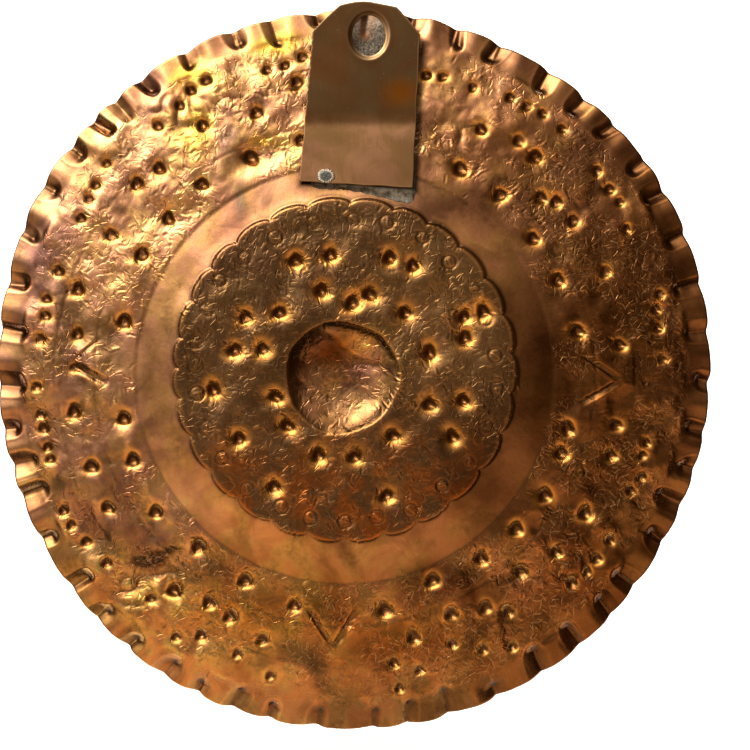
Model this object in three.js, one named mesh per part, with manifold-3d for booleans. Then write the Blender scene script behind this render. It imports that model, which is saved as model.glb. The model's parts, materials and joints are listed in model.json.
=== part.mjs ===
// Hammered copper wall plate, seen from the back, with a bent hanging tab soldered on near its top.
//
// Millimetres and degrees, +Z up. The back of the plate faces -Y and its decorated front faces +Y.
// Angles run clockwise from the top as seen from the back, so x = r sin(a) and z = r cos(a).
// Pieces are laid out from the middle of the plate, at the level of the rosette's back surface,
// and the finished assembly is then moved so that the origin is the middle of its box.
//
// The plate is one sheet. Its relief is a height field: recess(x, z) says how far the back surface
// lies in front of the plane y = 0. The front surface is the same field, one sheet thickness further on.

import * as THREE from 'three';
import { mergeVertices } from 'three/addons/utils/BufferGeometryUtils.js';
import Module from 'manifold-3d';

// Sheet and outline. The sheet was cut by hand, so its rim isn't quite round.
// RIM_RADII holds its distance from the middle every 30 degrees.
const RIM_RADII = [153, 151.8, 152.2, 150.7, 149.7, 151.2, 152.2, 153.2, 151.8, 151.9, 154.6, 154.3];
const SHEET_THICKNESS = 0.8;
const CLEARANCE = 0.3; // between separate pieces

// Centres: the pattern was laid out by hand and isn't quite central, so each circle has its own
const PLATE_CENTRE = [0, 0];
const PATTERN_CENTRE = [-4.6, -2];
const ROSETTE_CENTRE = [-4.4, 0.2];
const DISH_CENTRE = [-5.7, -2.8];

// Relief
const DISH_RADIUS = 24;
const DISH_FLOOR_RADIUS = 18;
const DISH_DEPTH = 6;
const GROOVE_START = 0.8; // recess of the groove ring beside the rosette
const GROOVE_DEPTH = 3; // and at its outside, beside the crease
const GROOVE_RADIUS = 89.5; // outside of the smooth groove ring, where the sheet creases up
const CREASE_WIDTH = 1;
const CREASE_LEVEL = 2.4; // recess of the sheet just outside the crease
const RIM_FALL = 3.1; // how much further the sheet falls away from the crease to the rim
const RIM_FALL_RADIUS = 150; // where it has fallen that far
const CHASED_CIRCLES = [106, 123];

// Scalloped rosette
const SCALLOP_VALLEY = 69;
const SCALLOP_RISE = 3;
const SCALLOP_STEP = 3; // width of the step from the rosette down to the groove ring
const SCALLOPS = [
  10.5, 23, 35.5, 49.5, 64, 77.5, 91, 105.5, 119, 134, 148.5, 161, 173, 187,
  198.5, 214, 226, 240, 254, 266.5, 275, 287, 301.5, 313, 326, 340.5, 353.5,
];

// Crimped rim: pockets pressed in from the edge, deepest at their inner end
const CRIMP_DEPTH = 2.6;
const CRIMP_EDGE_SHARE = 0.5; // of that depth, at the rim
const CRIMP_HALF_WIDTH = 2.3;
const CRIMP_LENGTH = 11.5;
const CRIMP_DEEPEST_INSET = 8.5; // distance of the deepest place from the rim
const CRIMP_DIP = 1.3; // how far the outline dips at a crimp
const LAND_RISE = 0.5; // how far it stands out between two
const CRIMPS = [
  2.4, 9.5, 16.5, 24, 33, 40, 46.5, 54, 59.5, 67.5, 76, 83.5, 92, 100, 106, 112.5, 119.5,
  127.5, 133.5, 141, 148.5, 156.5, 165, 171.5, 177.5, 186.5, 194, 200, 206, 212.5, 219.5, 226.5,
  233, 241.5, 249, 254.5, 260.5, 268, 276.5, 284.5, 293, 300.5, 308, 313.5, 318, 323.5, 332,
  340, 346.5, 353.5,
];

// Punched dimples: one row after another, each dimple as [angle, distance from the row's centre]
const PUNCH_DEPTH_SHARE = 0.85; // depth of a dimple, as a share of its radius
const RIM_ROW = {
  centre: PLATE_CENTRE,
  radius: 2.3,
  dimples: [
    [13.5, 129.5], [16.5, 130.5], [22.5, 130.5], [29.5, 133.5], [33, 134], [36, 135.5],
    [40.5, 135.5], [50.5, 133.5], [54.5, 133], [57.5, 133.5], [62.5, 130], [76, 133.5],
    [78.5, 130.5], [82, 130], [88, 130.5], [104, 127.5], [106.5, 127.5], [110.5, 130],
    [113.7, 128], [123.7, 130], [128, 130.5], [131, 130.5], [134.5, 129], [150.5, 135.5],
    [155.5, 130.5], [160.5, 123.5], [167.8, 130.5], [172.2, 136.5], [172.5, 125.5],
    [195.7, 135], [202.7, 130.5], [210.3, 130.5], [214, 137], [222, 131], [232.3, 134],
    [237.5, 136], [241.5, 138], [244.3, 138], [253.8, 135.5], [256, 135.5], [259.5, 135.5],
    [262, 135.5], [267, 136], [275.7, 134.5], [280, 134], [283, 135], [288.5, 133.5],
    [299, 133.5], [302.7, 135], [305.5, 136], [309.7, 138], [321, 134], [326.5, 135.5],
    [329.5, 138.5], [332.8, 139], [343.5, 133.5], [347, 133.5], [350.3, 135.5],
  ],
};
const MIDDLE_ROW = {
  centre: PLATE_CENTRE,
  radius: 3,
  dimples: [
    [27.5, 115.5], [35.5, 119.5], [40, 118.5], [47, 107.5], [50, 111.5], [55.5, 112.5],
    [68.5, 114], [84.5, 113], [102, 113], [108.5, 114.5], [122, 115], [132.3, 115],
    [140.5, 111], [147.7, 121.5], [151.3, 115], [158.5, 111], [167.7, 116], [199, 121],
    [207, 117.5], [212.2, 117], [219.5, 121.5], [241, 120.5], [250, 119.5], [261.7, 121],
    [270.5, 119.5], [277.5, 119.5], [276.5, 110], [286.3, 123], [299, 119], [310.5, 122.5],
    [315.8, 120], [328, 123], [339, 117.5], [348.5, 125],
  ],
};
const INNER_ROW = {
  centre: PLATE_CENTRE,
  radius: 3.1,
  dimples: [
    [27.5, 96.5], [39.5, 96.5], [53.5, 94], [66, 94], [80, 95.5], [105.5, 93.5], [112, 94],
    [123.5, 96.5], [134.7, 96], [146.3, 96], [160, 95], [173, 102.5], [194.7, 103],
    [207.7, 101], [221.7, 100.5], [234.7, 104], [248, 102], [258.2, 100.5], [282, 100.5],
    [298.5, 103.5], [309, 102.5], [320.5, 102.5], [333.7, 101], [346.5, 100.5],
  ],
};
const ROSETTE_ROWS = {
  centre: ROSETTE_CENTRE,
  radius: 3.2,
  dimples: [
    [6, 28.5], [17.7, 33.5], [46.5, 35], [78.5, 36.5], [112.5, 38.5], [144, 34.5], [174, 37],
    [197.5, 38], [226, 34], [249, 31.5], [284, 36], [311, 37], [343, 35], [21.5, 51],
    [33, 52.5], [66, 55], [67, 63.5], [75, 52.5], [104.5, 51.5], [122, 53.5], [162, 56],
    [211.5, 58], [237, 53.5], [261.5, 56.5], [280, 47.5], [298, 47.5], [335.5, 51], [352.5, 49],
  ],
};
const PUNCH_ROWS = [RIM_ROW, MIDDLE_ROW, INNER_ROW, ROSETTE_ROWS];
const PUNCH_SIDES = 5;

// Chevrons: two chisel grooves each, from the apex to the two ends, as [x, z]
const CHISEL_DEPTH = 1;
const CHISEL_HALF_WIDTH = 1.1;
const CHEVRONS = [
  { apex: [-121.2, 3.2], ends: [[-108.1, 13.8], [-104.7, -5.7]] },
  { apex: [112.8, -4.4], ends: [[96.7, 6.6], [95.4, -14.2]] },
  { apex: [-9.1, -117.8], ends: [[-20.5, -100.1], [1.1, -100.7]] },
];

// Hanging tab: its foot lies flat over the groove ring and its leg leans back from the bend
const TAB_THICKNESS = 1.2;
const TAB_FOOT_FRONT = 0; // y of the face that is soldered down
const TAB_BEND_HEIGHT = 103;
const TAB_BEND_RADIUS = 8;
const TAB_LEAN = 6;
const TAB_FOOT_LEFT = [-23.9, 79.8];
const TAB_FOOT_RIGHT = [24.1, 77];
const TAB_RIGHT_SHOULDER = [27.2, 140.7];
const TAB_LEFT_SHOULDER = [-18.1, 141.8];
const TAB_ARCH_RIGHT = [17.5, 151.8];
const TAB_ARCH_PULL = [2.8, 156.3];
const TAB_ARCH_LEFT = [-6.7, 152.7];
const HOLE_CENTRE = [5.6, 140.4];
const HOLE_RADIUS = 7.6;
const HOLE_STRETCH = 1.13; // the hole is a little taller than it is wide
const COLLAR_RADIUS = 10.2;
const COLLAR_DEPTH = 1.5;
const COLLAR_LAP = 0.4; // how far the collar runs into the sheet round it

// Solder
const SOLDER_TOP = 101;
const SOLDER_SIDE = 19;
const FILLET_LEFT = [-18, 1];
const FILLET_RIGHT = [25, 6.5];
const FILLET_THICKNESS = 0.5;
const SPOT_CENTRE = [-12.5, 81.9];
const SPOT_RADIUS = 3.4;
const SPOT_HEIGHT = 0.8;

const COPPER = new THREE.MeshStandardMaterial({ color: 0xb06a34, metalness: 1, roughness: 0.35 });
const AGED_COPPER = new THREE.MeshStandardMaterial({ color: 0x7f5a36, metalness: 1, roughness: 0.45 });
const SOLDER = new THREE.MeshStandardMaterial({ color: 0x8e8d8c, metalness: 1, roughness: 0.55 });

// ---- Plane geometry ----

const radians = THREE.MathUtils.degToRad;

function atAngle([x, z], angle, distance) {
  return [x + distance * Math.sin(radians(angle)), z + distance * Math.cos(radians(angle))];
}

function distanceTo([cx, cz], x, z) {
  return Math.hypot(x - cx, z - cz);
}

function angleTo([cx, cz], x, z) {
  const degrees = THREE.MathUtils.radToDeg(Math.atan2(x - cx, z - cz));
  return (degrees + 360) % 360;
}

function angleBetween(a, b) {
  return Math.abs(((a - b + 540) % 360) - 180);
}

// The same scatter on every run, so that no four points of the hand-worked pattern share a circle
function scatter(point, index) {
  const wobble = 0.03;
  return [point[0] + wobble * Math.sin(index * 12.9), point[1] + wobble * Math.sin(index * 78.2)];
}

// ---- Relief of the plate ----

const allDimples = PUNCH_ROWS.flatMap(({ centre, radius, dimples }) =>
  dimples.map(([angle, distance]) => ({ centre: atAngle(centre, angle, distance), radius })),
);

function rimRadius(angle) {
  const sector = 360 / RIM_RADII.length;
  const index = Math.floor(angle / sector) % RIM_RADII.length;
  const next = RIM_RADII[(index + 1) % RIM_RADII.length];
  const share = THREE.MathUtils.smoothstep(angle % sector, 0, sector);
  return THREE.MathUtils.lerp(RIM_RADII[index], next, share);
}

// The valleys of the rosette's edge lie half way between neighbouring scallops
function scallopSpan(index) {
  const here = SCALLOPS[index];
  const before = SCALLOPS.at(index - 1) - (index === 0 ? 360 : 0);
  const after = SCALLOPS[(index + 1) % SCALLOPS.length] + (index === SCALLOPS.length - 1 ? 360 : 0);
  return [(before + here) / 2, (here + after) / 2];
}

function rosetteRadius(angle) {
  for (let i = 0; i < SCALLOPS.length; i++) {
    const [from, to] = scallopSpan(i);
    const turned = angle < from ? angle + 360 : angle > to ? angle - 360 : angle;
    if (turned >= from && turned <= to) {
      const across = (2 * turned - from - to) / (to - from);
      return SCALLOP_VALLEY + SCALLOP_RISE * Math.sqrt(Math.max(0, 1 - across * across));
    }
  }
  return SCALLOP_VALLEY;
}

function dishRecess(x, z) {
  const r = distanceTo(DISH_CENTRE, x, z);
  const wall = THREE.MathUtils.smoothstep(DISH_RADIUS - r, 0, DISH_RADIUS - DISH_FLOOR_RADIUS);
  return DISH_DEPTH * wall;
}

// It drops off the rosette's scalloped edge and goes on falling towards the crease
function grooveRecess(x, z) {
  const edge = rosetteRadius(angleTo(ROSETTE_CENTRE, x, z));
  const fromRosette = distanceTo(ROSETTE_CENTRE, x, z) - edge;
  const drop = THREE.MathUtils.clamp(fromRosette / SCALLOP_STEP, 0, 1);
  const toCrease = GROOVE_RADIUS - distanceTo(PATTERN_CENTRE, x, z);
  const inwards = THREE.MathUtils.clamp(toCrease / (GROOVE_RADIUS - SCALLOP_VALLEY), 0, 1);
  return drop * THREE.MathUtils.lerp(GROOVE_DEPTH, GROOVE_START, inwards);
}

function bandRecess(x, z) {
  const r = distanceTo(PATTERN_CENTRE, x, z);
  const outwards = Math.max(0, r - GROOVE_RADIUS) / (RIM_FALL_RADIUS - GROOVE_RADIUS);
  return CREASE_LEVEL + RIM_FALL * outwards * Math.sqrt(outwards);
}

function crimpRecess(x, z) {
  const r = distanceTo(PLATE_CENTRE, x, z);
  const angle = angleTo(PLATE_CENTRE, x, z);
  const inset = rimRadius(angle) - r;
  if (inset > CRIMP_LENGTH) return 0;
  const nearest = Math.min(...CRIMPS.map((crimp) => angleBetween(angle, crimp)));
  const across = (r * radians(nearest)) / CRIMP_HALF_WIDTH;
  if (across >= 1) return 0;
  const start = (CRIMP_LENGTH - inset) / (CRIMP_LENGTH - CRIMP_DEEPEST_INSET);
  const past = 1 - inset / CRIMP_DEEPEST_INSET;
  const along = start < 1 ? start : 1 - (1 - CRIMP_EDGE_SHARE) * Math.min(past, 1);
  return CRIMP_DEPTH * along * (1 - across * across);
}

function punchRecess(x, z) {
  let deepest = 0;
  for (const { centre, radius } of allDimples) {
    const across = distanceTo(centre, x, z) / radius;
    if (across < 1) deepest = Math.max(deepest, PUNCH_DEPTH_SHARE * radius * (1 - across));
  }
  return deepest;
}

const chiselCuts = CHEVRONS.flatMap(({ apex, ends }) => ends.map((end) => [apex, end]));

function chiselRecess(x, z) {
  let deepest = 0;
  for (const [from, to] of chiselCuts) {
    const length = distanceTo(from, ...to);
    const along = ((x - from[0]) * (to[0] - from[0]) + (z - from[1]) * (to[1] - from[1])) / length;
    const across = ((z - from[1]) * (to[0] - from[0]) - (x - from[0]) * (to[1] - from[1])) / length;
    const wall = 1 - Math.abs(across) / CHISEL_HALF_WIDTH;
    if (wall > 0 && along >= 0 && along <= length) deepest = Math.max(deepest, CHISEL_DEPTH * wall);
  }
  return deepest;
}

function recess(x, z) {
  const pastCrease = (distanceTo(PATTERN_CENTRE, x, z) - GROOVE_RADIUS) / CREASE_WIDTH + 1;
  const inside = grooveRecess(x, z) + dishRecess(x, z);
  const level = THREE.MathUtils.lerp(inside, bandRecess(x, z), THREE.MathUtils.clamp(pastCrease, 0, 1));
  return level + Math.max(punchRecess(x, z), chiselRecess(x, z)) + crimpRecess(x, z);
}

// ---- Mesh points of the plate ----

function ringPoints(centre, radius, count, offset = 0) {
  return Array.from({ length: count }, (_, i) => atAngle(centre, (360 * (i + offset)) / count, radius));
}

function midAngle(index) {
  const next = CRIMPS[(index + 1) % CRIMPS.length];
  return (CRIMPS[index] + next + (next < CRIMPS[index] ? 360 : 0)) / 2;
}

function outlinePoints() {
  return CRIMPS.flatMap((crimp, i) => {
    const rim = rimRadius(crimp);
    const side = THREE.MathUtils.radToDeg(CRIMP_HALF_WIDTH / rim);
    return [
      atAngle(PLATE_CENTRE, crimp - side, rim),
      atAngle(PLATE_CENTRE, crimp, rim + LAND_RISE - CRIMP_DIP),
      atAngle(PLATE_CENTRE, crimp + side, rim),
      atAngle(PLATE_CENTRE, midAngle(i), rimRadius(midAngle(i)) + LAND_RISE),
    ];
  });
}

function crimpPoints() {
  return CRIMPS.flatMap((crimp, i) => {
    const deepest = rimRadius(crimp) - CRIMP_DEEPEST_INSET;
    const middle = rimRadius(crimp) - CRIMP_DEEPEST_INSET / 2;
    const side = THREE.MathUtils.radToDeg(CRIMP_HALF_WIDTH / middle);
    return [
      atAngle(PLATE_CENTRE, crimp - side, middle),
      atAngle(PLATE_CENTRE, crimp, middle),
      atAngle(PLATE_CENTRE, crimp + side, middle),
      atAngle(PLATE_CENTRE, midAngle(i), middle),
      atAngle(PLATE_CENTRE, crimp - side, deepest),
      atAngle(PLATE_CENTRE, crimp, deepest),
      atAngle(PLATE_CENTRE, crimp + side, deepest),
      atAngle(PLATE_CENTRE, crimp, rimRadius(crimp) - CRIMP_LENGTH),
    ];
  });
}

function rosettePoints() {
  const perScallop = 4;
  return SCALLOPS.flatMap((_, i) => {
    const [from, to] = scallopSpan(i);
    const angles = Array.from({ length: perScallop }, (_, k) => from + ((to - from) * k) / perScallop);
    return angles.flatMap((angle) => {
      const edge = rosetteRadius((angle + 360) % 360);
      return [
        atAngle(ROSETTE_CENTRE, angle, edge),
        atAngle(ROSETTE_CENTRE, angle, edge + SCALLOP_STEP),
      ];
    });
  });
}

function dimplePoints() {
  return allDimples.flatMap(({ centre, radius }, i) => [
    centre,
    ...ringPoints(centre, radius, PUNCH_SIDES, (i % 3) / 3),
  ]);
}

function chiselPoints() {
  const tip = 0.15; // the grooves run out at their ends
  return chiselCuts.flatMap(([from, to]) => {
    const length = distanceTo(from, ...to);
    const side = [(from[1] - to[1]) / length, (to[0] - from[0]) / length];
    const at = (share, offset) => [
      from[0] + (to[0] - from[0]) * share + side[0] * offset,
      from[1] + (to[1] - from[1]) * share + side[1] * offset,
    ];
    const stations = [tip, 0.5, 1 - tip];
    const walls = stations.flatMap((share) => [at(share, CHISEL_HALF_WIDTH), at(share, -CHISEL_HALF_WIDTH)]);
    return [...stations.map((share) => at(share, 0)), ...walls, at(-0.03, 0), at(1.03, 0)];
  });
}

function reliefPoints() {
  const creaseCount = 64; // the same on both sides of the crease, so that facets don't bridge it
  return [
    DISH_CENTRE,
    ...ringPoints(DISH_CENTRE, DISH_FLOOR_RADIUS * 0.6, 10),
    ...ringPoints(DISH_CENTRE, DISH_FLOOR_RADIUS, 20),
    ...ringPoints(DISH_CENTRE, (DISH_FLOOR_RADIUS + DISH_RADIUS) / 2, 24, 0.5),
    ...ringPoints(DISH_CENTRE, DISH_RADIUS, 28),
    ...ringPoints(PATTERN_CENTRE, (GROOVE_RADIUS + SCALLOP_VALLEY + SCALLOP_RISE) / 2, 40),
    ...ringPoints(PATTERN_CENTRE, GROOVE_RADIUS - CREASE_WIDTH, creaseCount),
    ...ringPoints(PATTERN_CENTRE, GROOVE_RADIUS, creaseCount),
    ...CHASED_CIRCLES.flatMap((radius) => ringPoints(PATTERN_CENTRE, radius, 40)),
  ];
}

// Points nearer to an earlier one than the finest useful facet are left out
function spacedOut(points, spacing) {
  const kept = [];
  for (const [x, z] of points) {
    if (kept.every((other) => distanceTo(other, x, z) > spacing)) kept.push([x, z]);
  }
  return kept;
}

// ---- Triangulation ----

// A triangle with the circle through its corners
function circledTriangle(points, a, b, c) {
  const [ax, az] = points[a];
  const [bx, bz] = [points[b][0] - ax, points[b][1] - az];
  const [cx, cz] = [points[c][0] - ax, points[c][1] - az];
  const d = 2 * (bx * cz - bz * cx);
  const ux = (cz * (bx * bx + bz * bz) - bz * (cx * cx + cz * cz)) / d;
  const uz = (bx * (cx * cx + cz * cz) - cx * (bx * bx + bz * bz)) / d;
  return { corners: [a, b, c], centre: [ax + ux, az + uz], radius: Math.hypot(ux, uz) };
}

// The outline of a set of triangles, as directed edges
function openEdges(triangles) {
  const edges = new Map();
  for (const [a, b, c] of triangles) {
    for (const [from, to] of [[a, b], [b, c], [c, a]]) {
      if (!edges.delete(`${to} ${from}`)) edges.set(`${from} ${to}`, [from, to]);
    }
  }
  return [...edges.values()];
}

// Delaunay triangulation by adding one point after another, counter-clockwise from the back
function triangulate(points) {
  const far = RIM_RADII[0] * 20;
  const all = [...points, [-far, -far], [far, -far], [0, far]];
  const count = points.length;
  let triangles = [circledTriangle(all, count, count + 1, count + 2)];
  for (let i = 0; i < count; i++) {
    const holds = (t) => distanceTo(t.centre, ...all[i]) < t.radius;
    const opened = openEdges(triangles.filter(holds).map((t) => t.corners));
    triangles = triangles.filter((t) => !holds(t));
    triangles.push(...opened.map(([from, to]) => circledTriangle(all, from, to, i)));
  }
  return triangles.map((t) => t.corners).filter((corners) => Math.max(...corners) < count);
}

// ---- Building blocks ----

function meshGeometry(positions, triangles) {
  const geometry = new THREE.BufferGeometry();
  geometry.setAttribute('position', new THREE.Float32BufferAttribute(positions.flat(), 3));
  geometry.setIndex(triangles.flat());
  geometry.computeVertexNormals();
  return geometry;
}

// A sheet between two height fields over one triangulation of [x, z] points
function sheetGeometry(points, triangles, backLevel, frontLevel) {
  const count = points.length;
  const back = points.map(([x, z]) => [x, backLevel(x, z), z]);
  const front = points.map(([x, z]) => [x, frontLevel(x, z), z]);
  const faces = [...triangles, ...triangles.map(([a, b, c]) => [a + count, c + count, b + count])];
  for (const [from, to] of openEdges(triangles)) {
    faces.push([to, from, from + count], [to, from + count, to + count]);
  }
  return meshGeometry([...back, ...front], faces);
}

const wasm = await Module();
wasm.setup();

function toSolid(geometry, matrix = new THREE.Matrix4()) {
  const bare = geometry.clone().applyMatrix4(matrix);
  bare.deleteAttribute('normal');
  bare.deleteAttribute('uv');
  const merged = mergeVertices(bare, 1e-4);
  const mesh = new wasm.Mesh({
    numProp: 3,
    vertProperties: new Float32Array(merged.attributes.position.array),
    triVerts: new Uint32Array(merged.index.array),
  });
  return new wasm.Manifold(mesh);
}

function fromSolid(solid) {
  const { vertProperties, triVerts } = solid.getMesh();
  const geometry = new THREE.BufferGeometry();
  geometry.setAttribute('position', new THREE.Float32BufferAttribute(vertProperties, 3));
  geometry.setIndex([...triVerts]);
  geometry.computeVertexNormals();
  return geometry;
}

function shapeThrough(points) {
  return new THREE.Shape(points.map(([x, y]) => new THREE.Vector2(x, y)));
}

// ---- Pieces ----

function plateGeometry() {
  const outline = outlinePoints();
  const finest = 0.9;
  const marks = [...crimpPoints(), ...dimplePoints(), ...chiselPoints()];
  const inside = [...marks, ...rosettePoints(), ...reliefPoints()];
  const points = spacedOut([...outline, ...inside], finest).map(scatter);
  const betweenEdgePoints = (corners) => Math.max(...corners) < outline.length;
  const triangles = triangulate(points).filter((corners) => !betweenEdgePoints(corners));
  return sheetGeometry(points, triangles, recess, (x, z) => recess(x, z) + SHEET_THICKNESS);
}

// The strip from the side, as points [y, z] round its section
function tabSection() {
  const steps = 4;
  const half = TAB_THICKNESS / 2;
  const middle = TAB_FOOT_FRONT - half;
  const footEnd = [middle, TAB_FOOT_RIGHT[1] - 10, 0];
  const bend = Array.from({ length: steps + 1 }, (_, i) => {
    const tilt = radians((TAB_LEAN * i) / steps);
    const y = middle - TAB_BEND_RADIUS * (1 - Math.cos(tilt));
    return [y, TAB_BEND_HEIGHT + TAB_BEND_RADIUS * Math.sin(tilt), tilt];
  });
  const [bendY, bendZ, lean] = bend.at(-1);
  const reach = 70;
  const legEnd = [bendY - reach * Math.sin(lean), bendZ + reach * Math.cos(lean), lean];
  const stations = [footEnd, ...bend, legEnd];
  const side = (sign) =>
    stations.map(([y, z, tilt]) => [y + sign * half * Math.cos(tilt), z + sign * half * Math.sin(tilt)]);
  return [...side(1), ...side(-1).reverse()];
}

function tabFace() {
  const shape = new THREE.Shape();
  shape.moveTo(...TAB_FOOT_LEFT);
  shape.lineTo(...TAB_FOOT_RIGHT);
  shape.lineTo(...TAB_RIGHT_SHOULDER);
  shape.lineTo(...TAB_ARCH_RIGHT);
  shape.quadraticCurveTo(...TAB_ARCH_PULL, ...TAB_ARCH_LEFT);
  shape.lineTo(...TAB_LEFT_SHOULDER);
  return shape;
}

// Where the hole's middle lies on the leaning leg, with its axis square to the leg
function holePlace() {
  const lean = radians(TAB_LEAN);
  const up = HOLE_CENTRE[1] - TAB_BEND_HEIGHT - TAB_BEND_RADIUS * Math.sin(lean);
  const footMiddle = TAB_FOOT_FRONT - TAB_THICKNESS / 2;
  const y = footMiddle - TAB_BEND_RADIUS * (1 - Math.cos(lean)) - up * Math.tan(lean);
  const across = new THREE.Vector3(1, 0, 0);
  const through = new THREE.Vector3(0, Math.cos(lean), Math.sin(lean));
  const along = new THREE.Vector3(0, -Math.sin(lean), Math.cos(lean));
  const stretch = new THREE.Matrix4().makeScale(1, 1, HOLE_STRETCH);
  const place = new THREE.Matrix4().makeBasis(across, through, along);
  return place.setPosition(HOLE_CENTRE[0], y, HOLE_CENTRE[1]).multiply(stretch);
}

// The dished ring of metal that the punch pushed in round the hole
function collarGeometry() {
  const half = TAB_THICKNESS / 2;
  const outer = COLLAR_RADIUS + COLLAR_LAP;
  const section = [
    new THREE.Vector2(outer, -half),
    new THREE.Vector2(outer, half),
    new THREE.Vector2(HOLE_RADIUS, half + COLLAR_DEPTH),
    new THREE.Vector2(HOLE_RADIUS, -half + COLLAR_DEPTH),
    new THREE.Vector2(outer, -half),
  ];
  return new THREE.LatheGeometry(section, 36);
}

function tabGeometry() {
  const width = 80;
  const x = new THREE.Vector3(1, 0, 0);
  const y = new THREE.Vector3(0, 1, 0);
  const z = new THREE.Vector3(0, 0, 1);
  const alongX = new THREE.Matrix4().makeBasis(y, z, x).setPosition(-width / 2, 0, 0);
  const alongY = new THREE.Matrix4().makeBasis(x, z, y.clone().negate()).setPosition(0, width / 2, 0);
  const options = { depth: width, bevelEnabled: false, curveSegments: 10 };
  const strip = toSolid(new THREE.ExtrudeGeometry(shapeThrough(tabSection()), options), alongX);
  const face = toSolid(new THREE.ExtrudeGeometry(tabFace(), options), alongY);
  const opening = toSolid(new THREE.CylinderGeometry(COLLAR_RADIUS, COLLAR_RADIUS, 20, 36), holePlace());
  const collar = toSolid(collarGeometry(), holePlace());
  return fromSolid(strip.intersect(face).subtract(opening).add(collar));
}

// Height of the tab's lower edge, and of the solder fillet's edge below it
function alongLine([x0, v0], [x1, v1], x) {
  return v0 + ((x - x0) * (v1 - v0)) / (x1 - x0);
}

// Solder fills the room between the tab's foot and the plate, and runs out below the foot
function solderGeometry() {
  const columns = 14;
  const rows = 14;
  const reach = 1.3; // the solder stays clear of the highest metal this near
  const points = [];
  const triangles = [];
  for (let column = 0; column <= columns; column++) {
    const share = column / columns;
    const top = [-SOLDER_SIDE + 2 * SOLDER_SIDE * share, SOLDER_TOP];
    const x = FILLET_LEFT[0] + (FILLET_RIGHT[0] - FILLET_LEFT[0]) * share;
    const tabEdge = alongLine(TAB_FOOT_LEFT, TAB_FOOT_RIGHT, x);
    const bottom = [x, tabEdge - alongLine(FILLET_LEFT, FILLET_RIGHT, x)];
    for (let row = 0; row <= rows; row++) {
      const down = row / rows;
      points.push([top[0] + (bottom[0] - top[0]) * down, top[1] + (bottom[1] - top[1]) * down]);
    }
  }
  for (let column = 0; column < columns; column++) {
    for (let row = 0; row < rows; row++) {
      const a = column * (rows + 1) + row;
      const b = a + rows + 1;
      triangles.push([a, a + 1, b + 1], [a, b + 1, b]);
    }
  }
  const highest = (x, z) => Math.min(recess(x, z), recess(x, z - reach), recess(x, z + reach));
  const front = (x, z) => highest(x, z) - CLEARANCE;
  const back = (x, z) => {
    const below = alongLine(TAB_FOOT_LEFT, TAB_FOOT_RIGHT, x) - z;
    const underTab = TAB_FOOT_FRONT + CLEARANCE;
    const drop = THREE.MathUtils.clamp(below / FILLET_RIGHT[1], 0, 1);
    return THREE.MathUtils.lerp(underTab, front(x, z) - FILLET_THICKNESS, drop);
  };
  return sheetGeometry(points, triangles, back, front);
}

function spotGeometry() {
  const steps = 5;
  const dome = Array.from({ length: steps + 1 }, (_, i) => {
    const turn = (Math.PI / 2) * (i / steps);
    return new THREE.Vector2(SPOT_RADIUS * Math.cos(turn), SPOT_HEIGHT * Math.sin(turn));
  });
  dome[steps].x = 0;
  return new THREE.LatheGeometry([new THREE.Vector2(0, 0), ...dome], 20);
}

// ---- Assembly ----

function piece(name, geometry, material) {
  const mesh = new THREE.Mesh(geometry, material);
  mesh.name = name;
  return mesh;
}

const spot = piece('solder_spot', spotGeometry(), SOLDER);
spot.position.set(SPOT_CENTRE[0], TAB_FOOT_FRONT - TAB_THICKNESS - CLEARANCE, SPOT_CENTRE[1]);
spot.rotation.x = radians(180); // the dome stands out of the tab's back face

const assembly = new THREE.Group();
assembly.add(
  piece('plate', plateGeometry(), COPPER),
  piece('hanger_tab', tabGeometry(), AGED_COPPER),
  piece('solder_joint', solderGeometry(), SOLDER),
  spot,
);
const middle = new THREE.Box3().setFromObject(assembly, true).getCenter(new THREE.Vector3());
assembly.position.copy(middle).negate();

const group = new THREE.Group();
group.add(assembly);

export default group;
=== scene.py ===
"""Hammered copper wall plate, seen from the back, with a bent hanging tab soldered on near its top.

The objects are in metres in the CAD frame: +Z up, the back of the plate faces -Y, its front +Y.
The relief is worked out in millimetres on a square map over the plate. A recess is how far the
back surface lies in front (+Y) of the plane y = 0. Angles run clockwise from the top as seen
from the back, so x = r sin(a) and z = r cos(a).
"""

import json
import math

import bpy
import numpy as np
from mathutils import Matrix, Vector
from mathutils.geometry import convex_hull_2d


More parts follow.
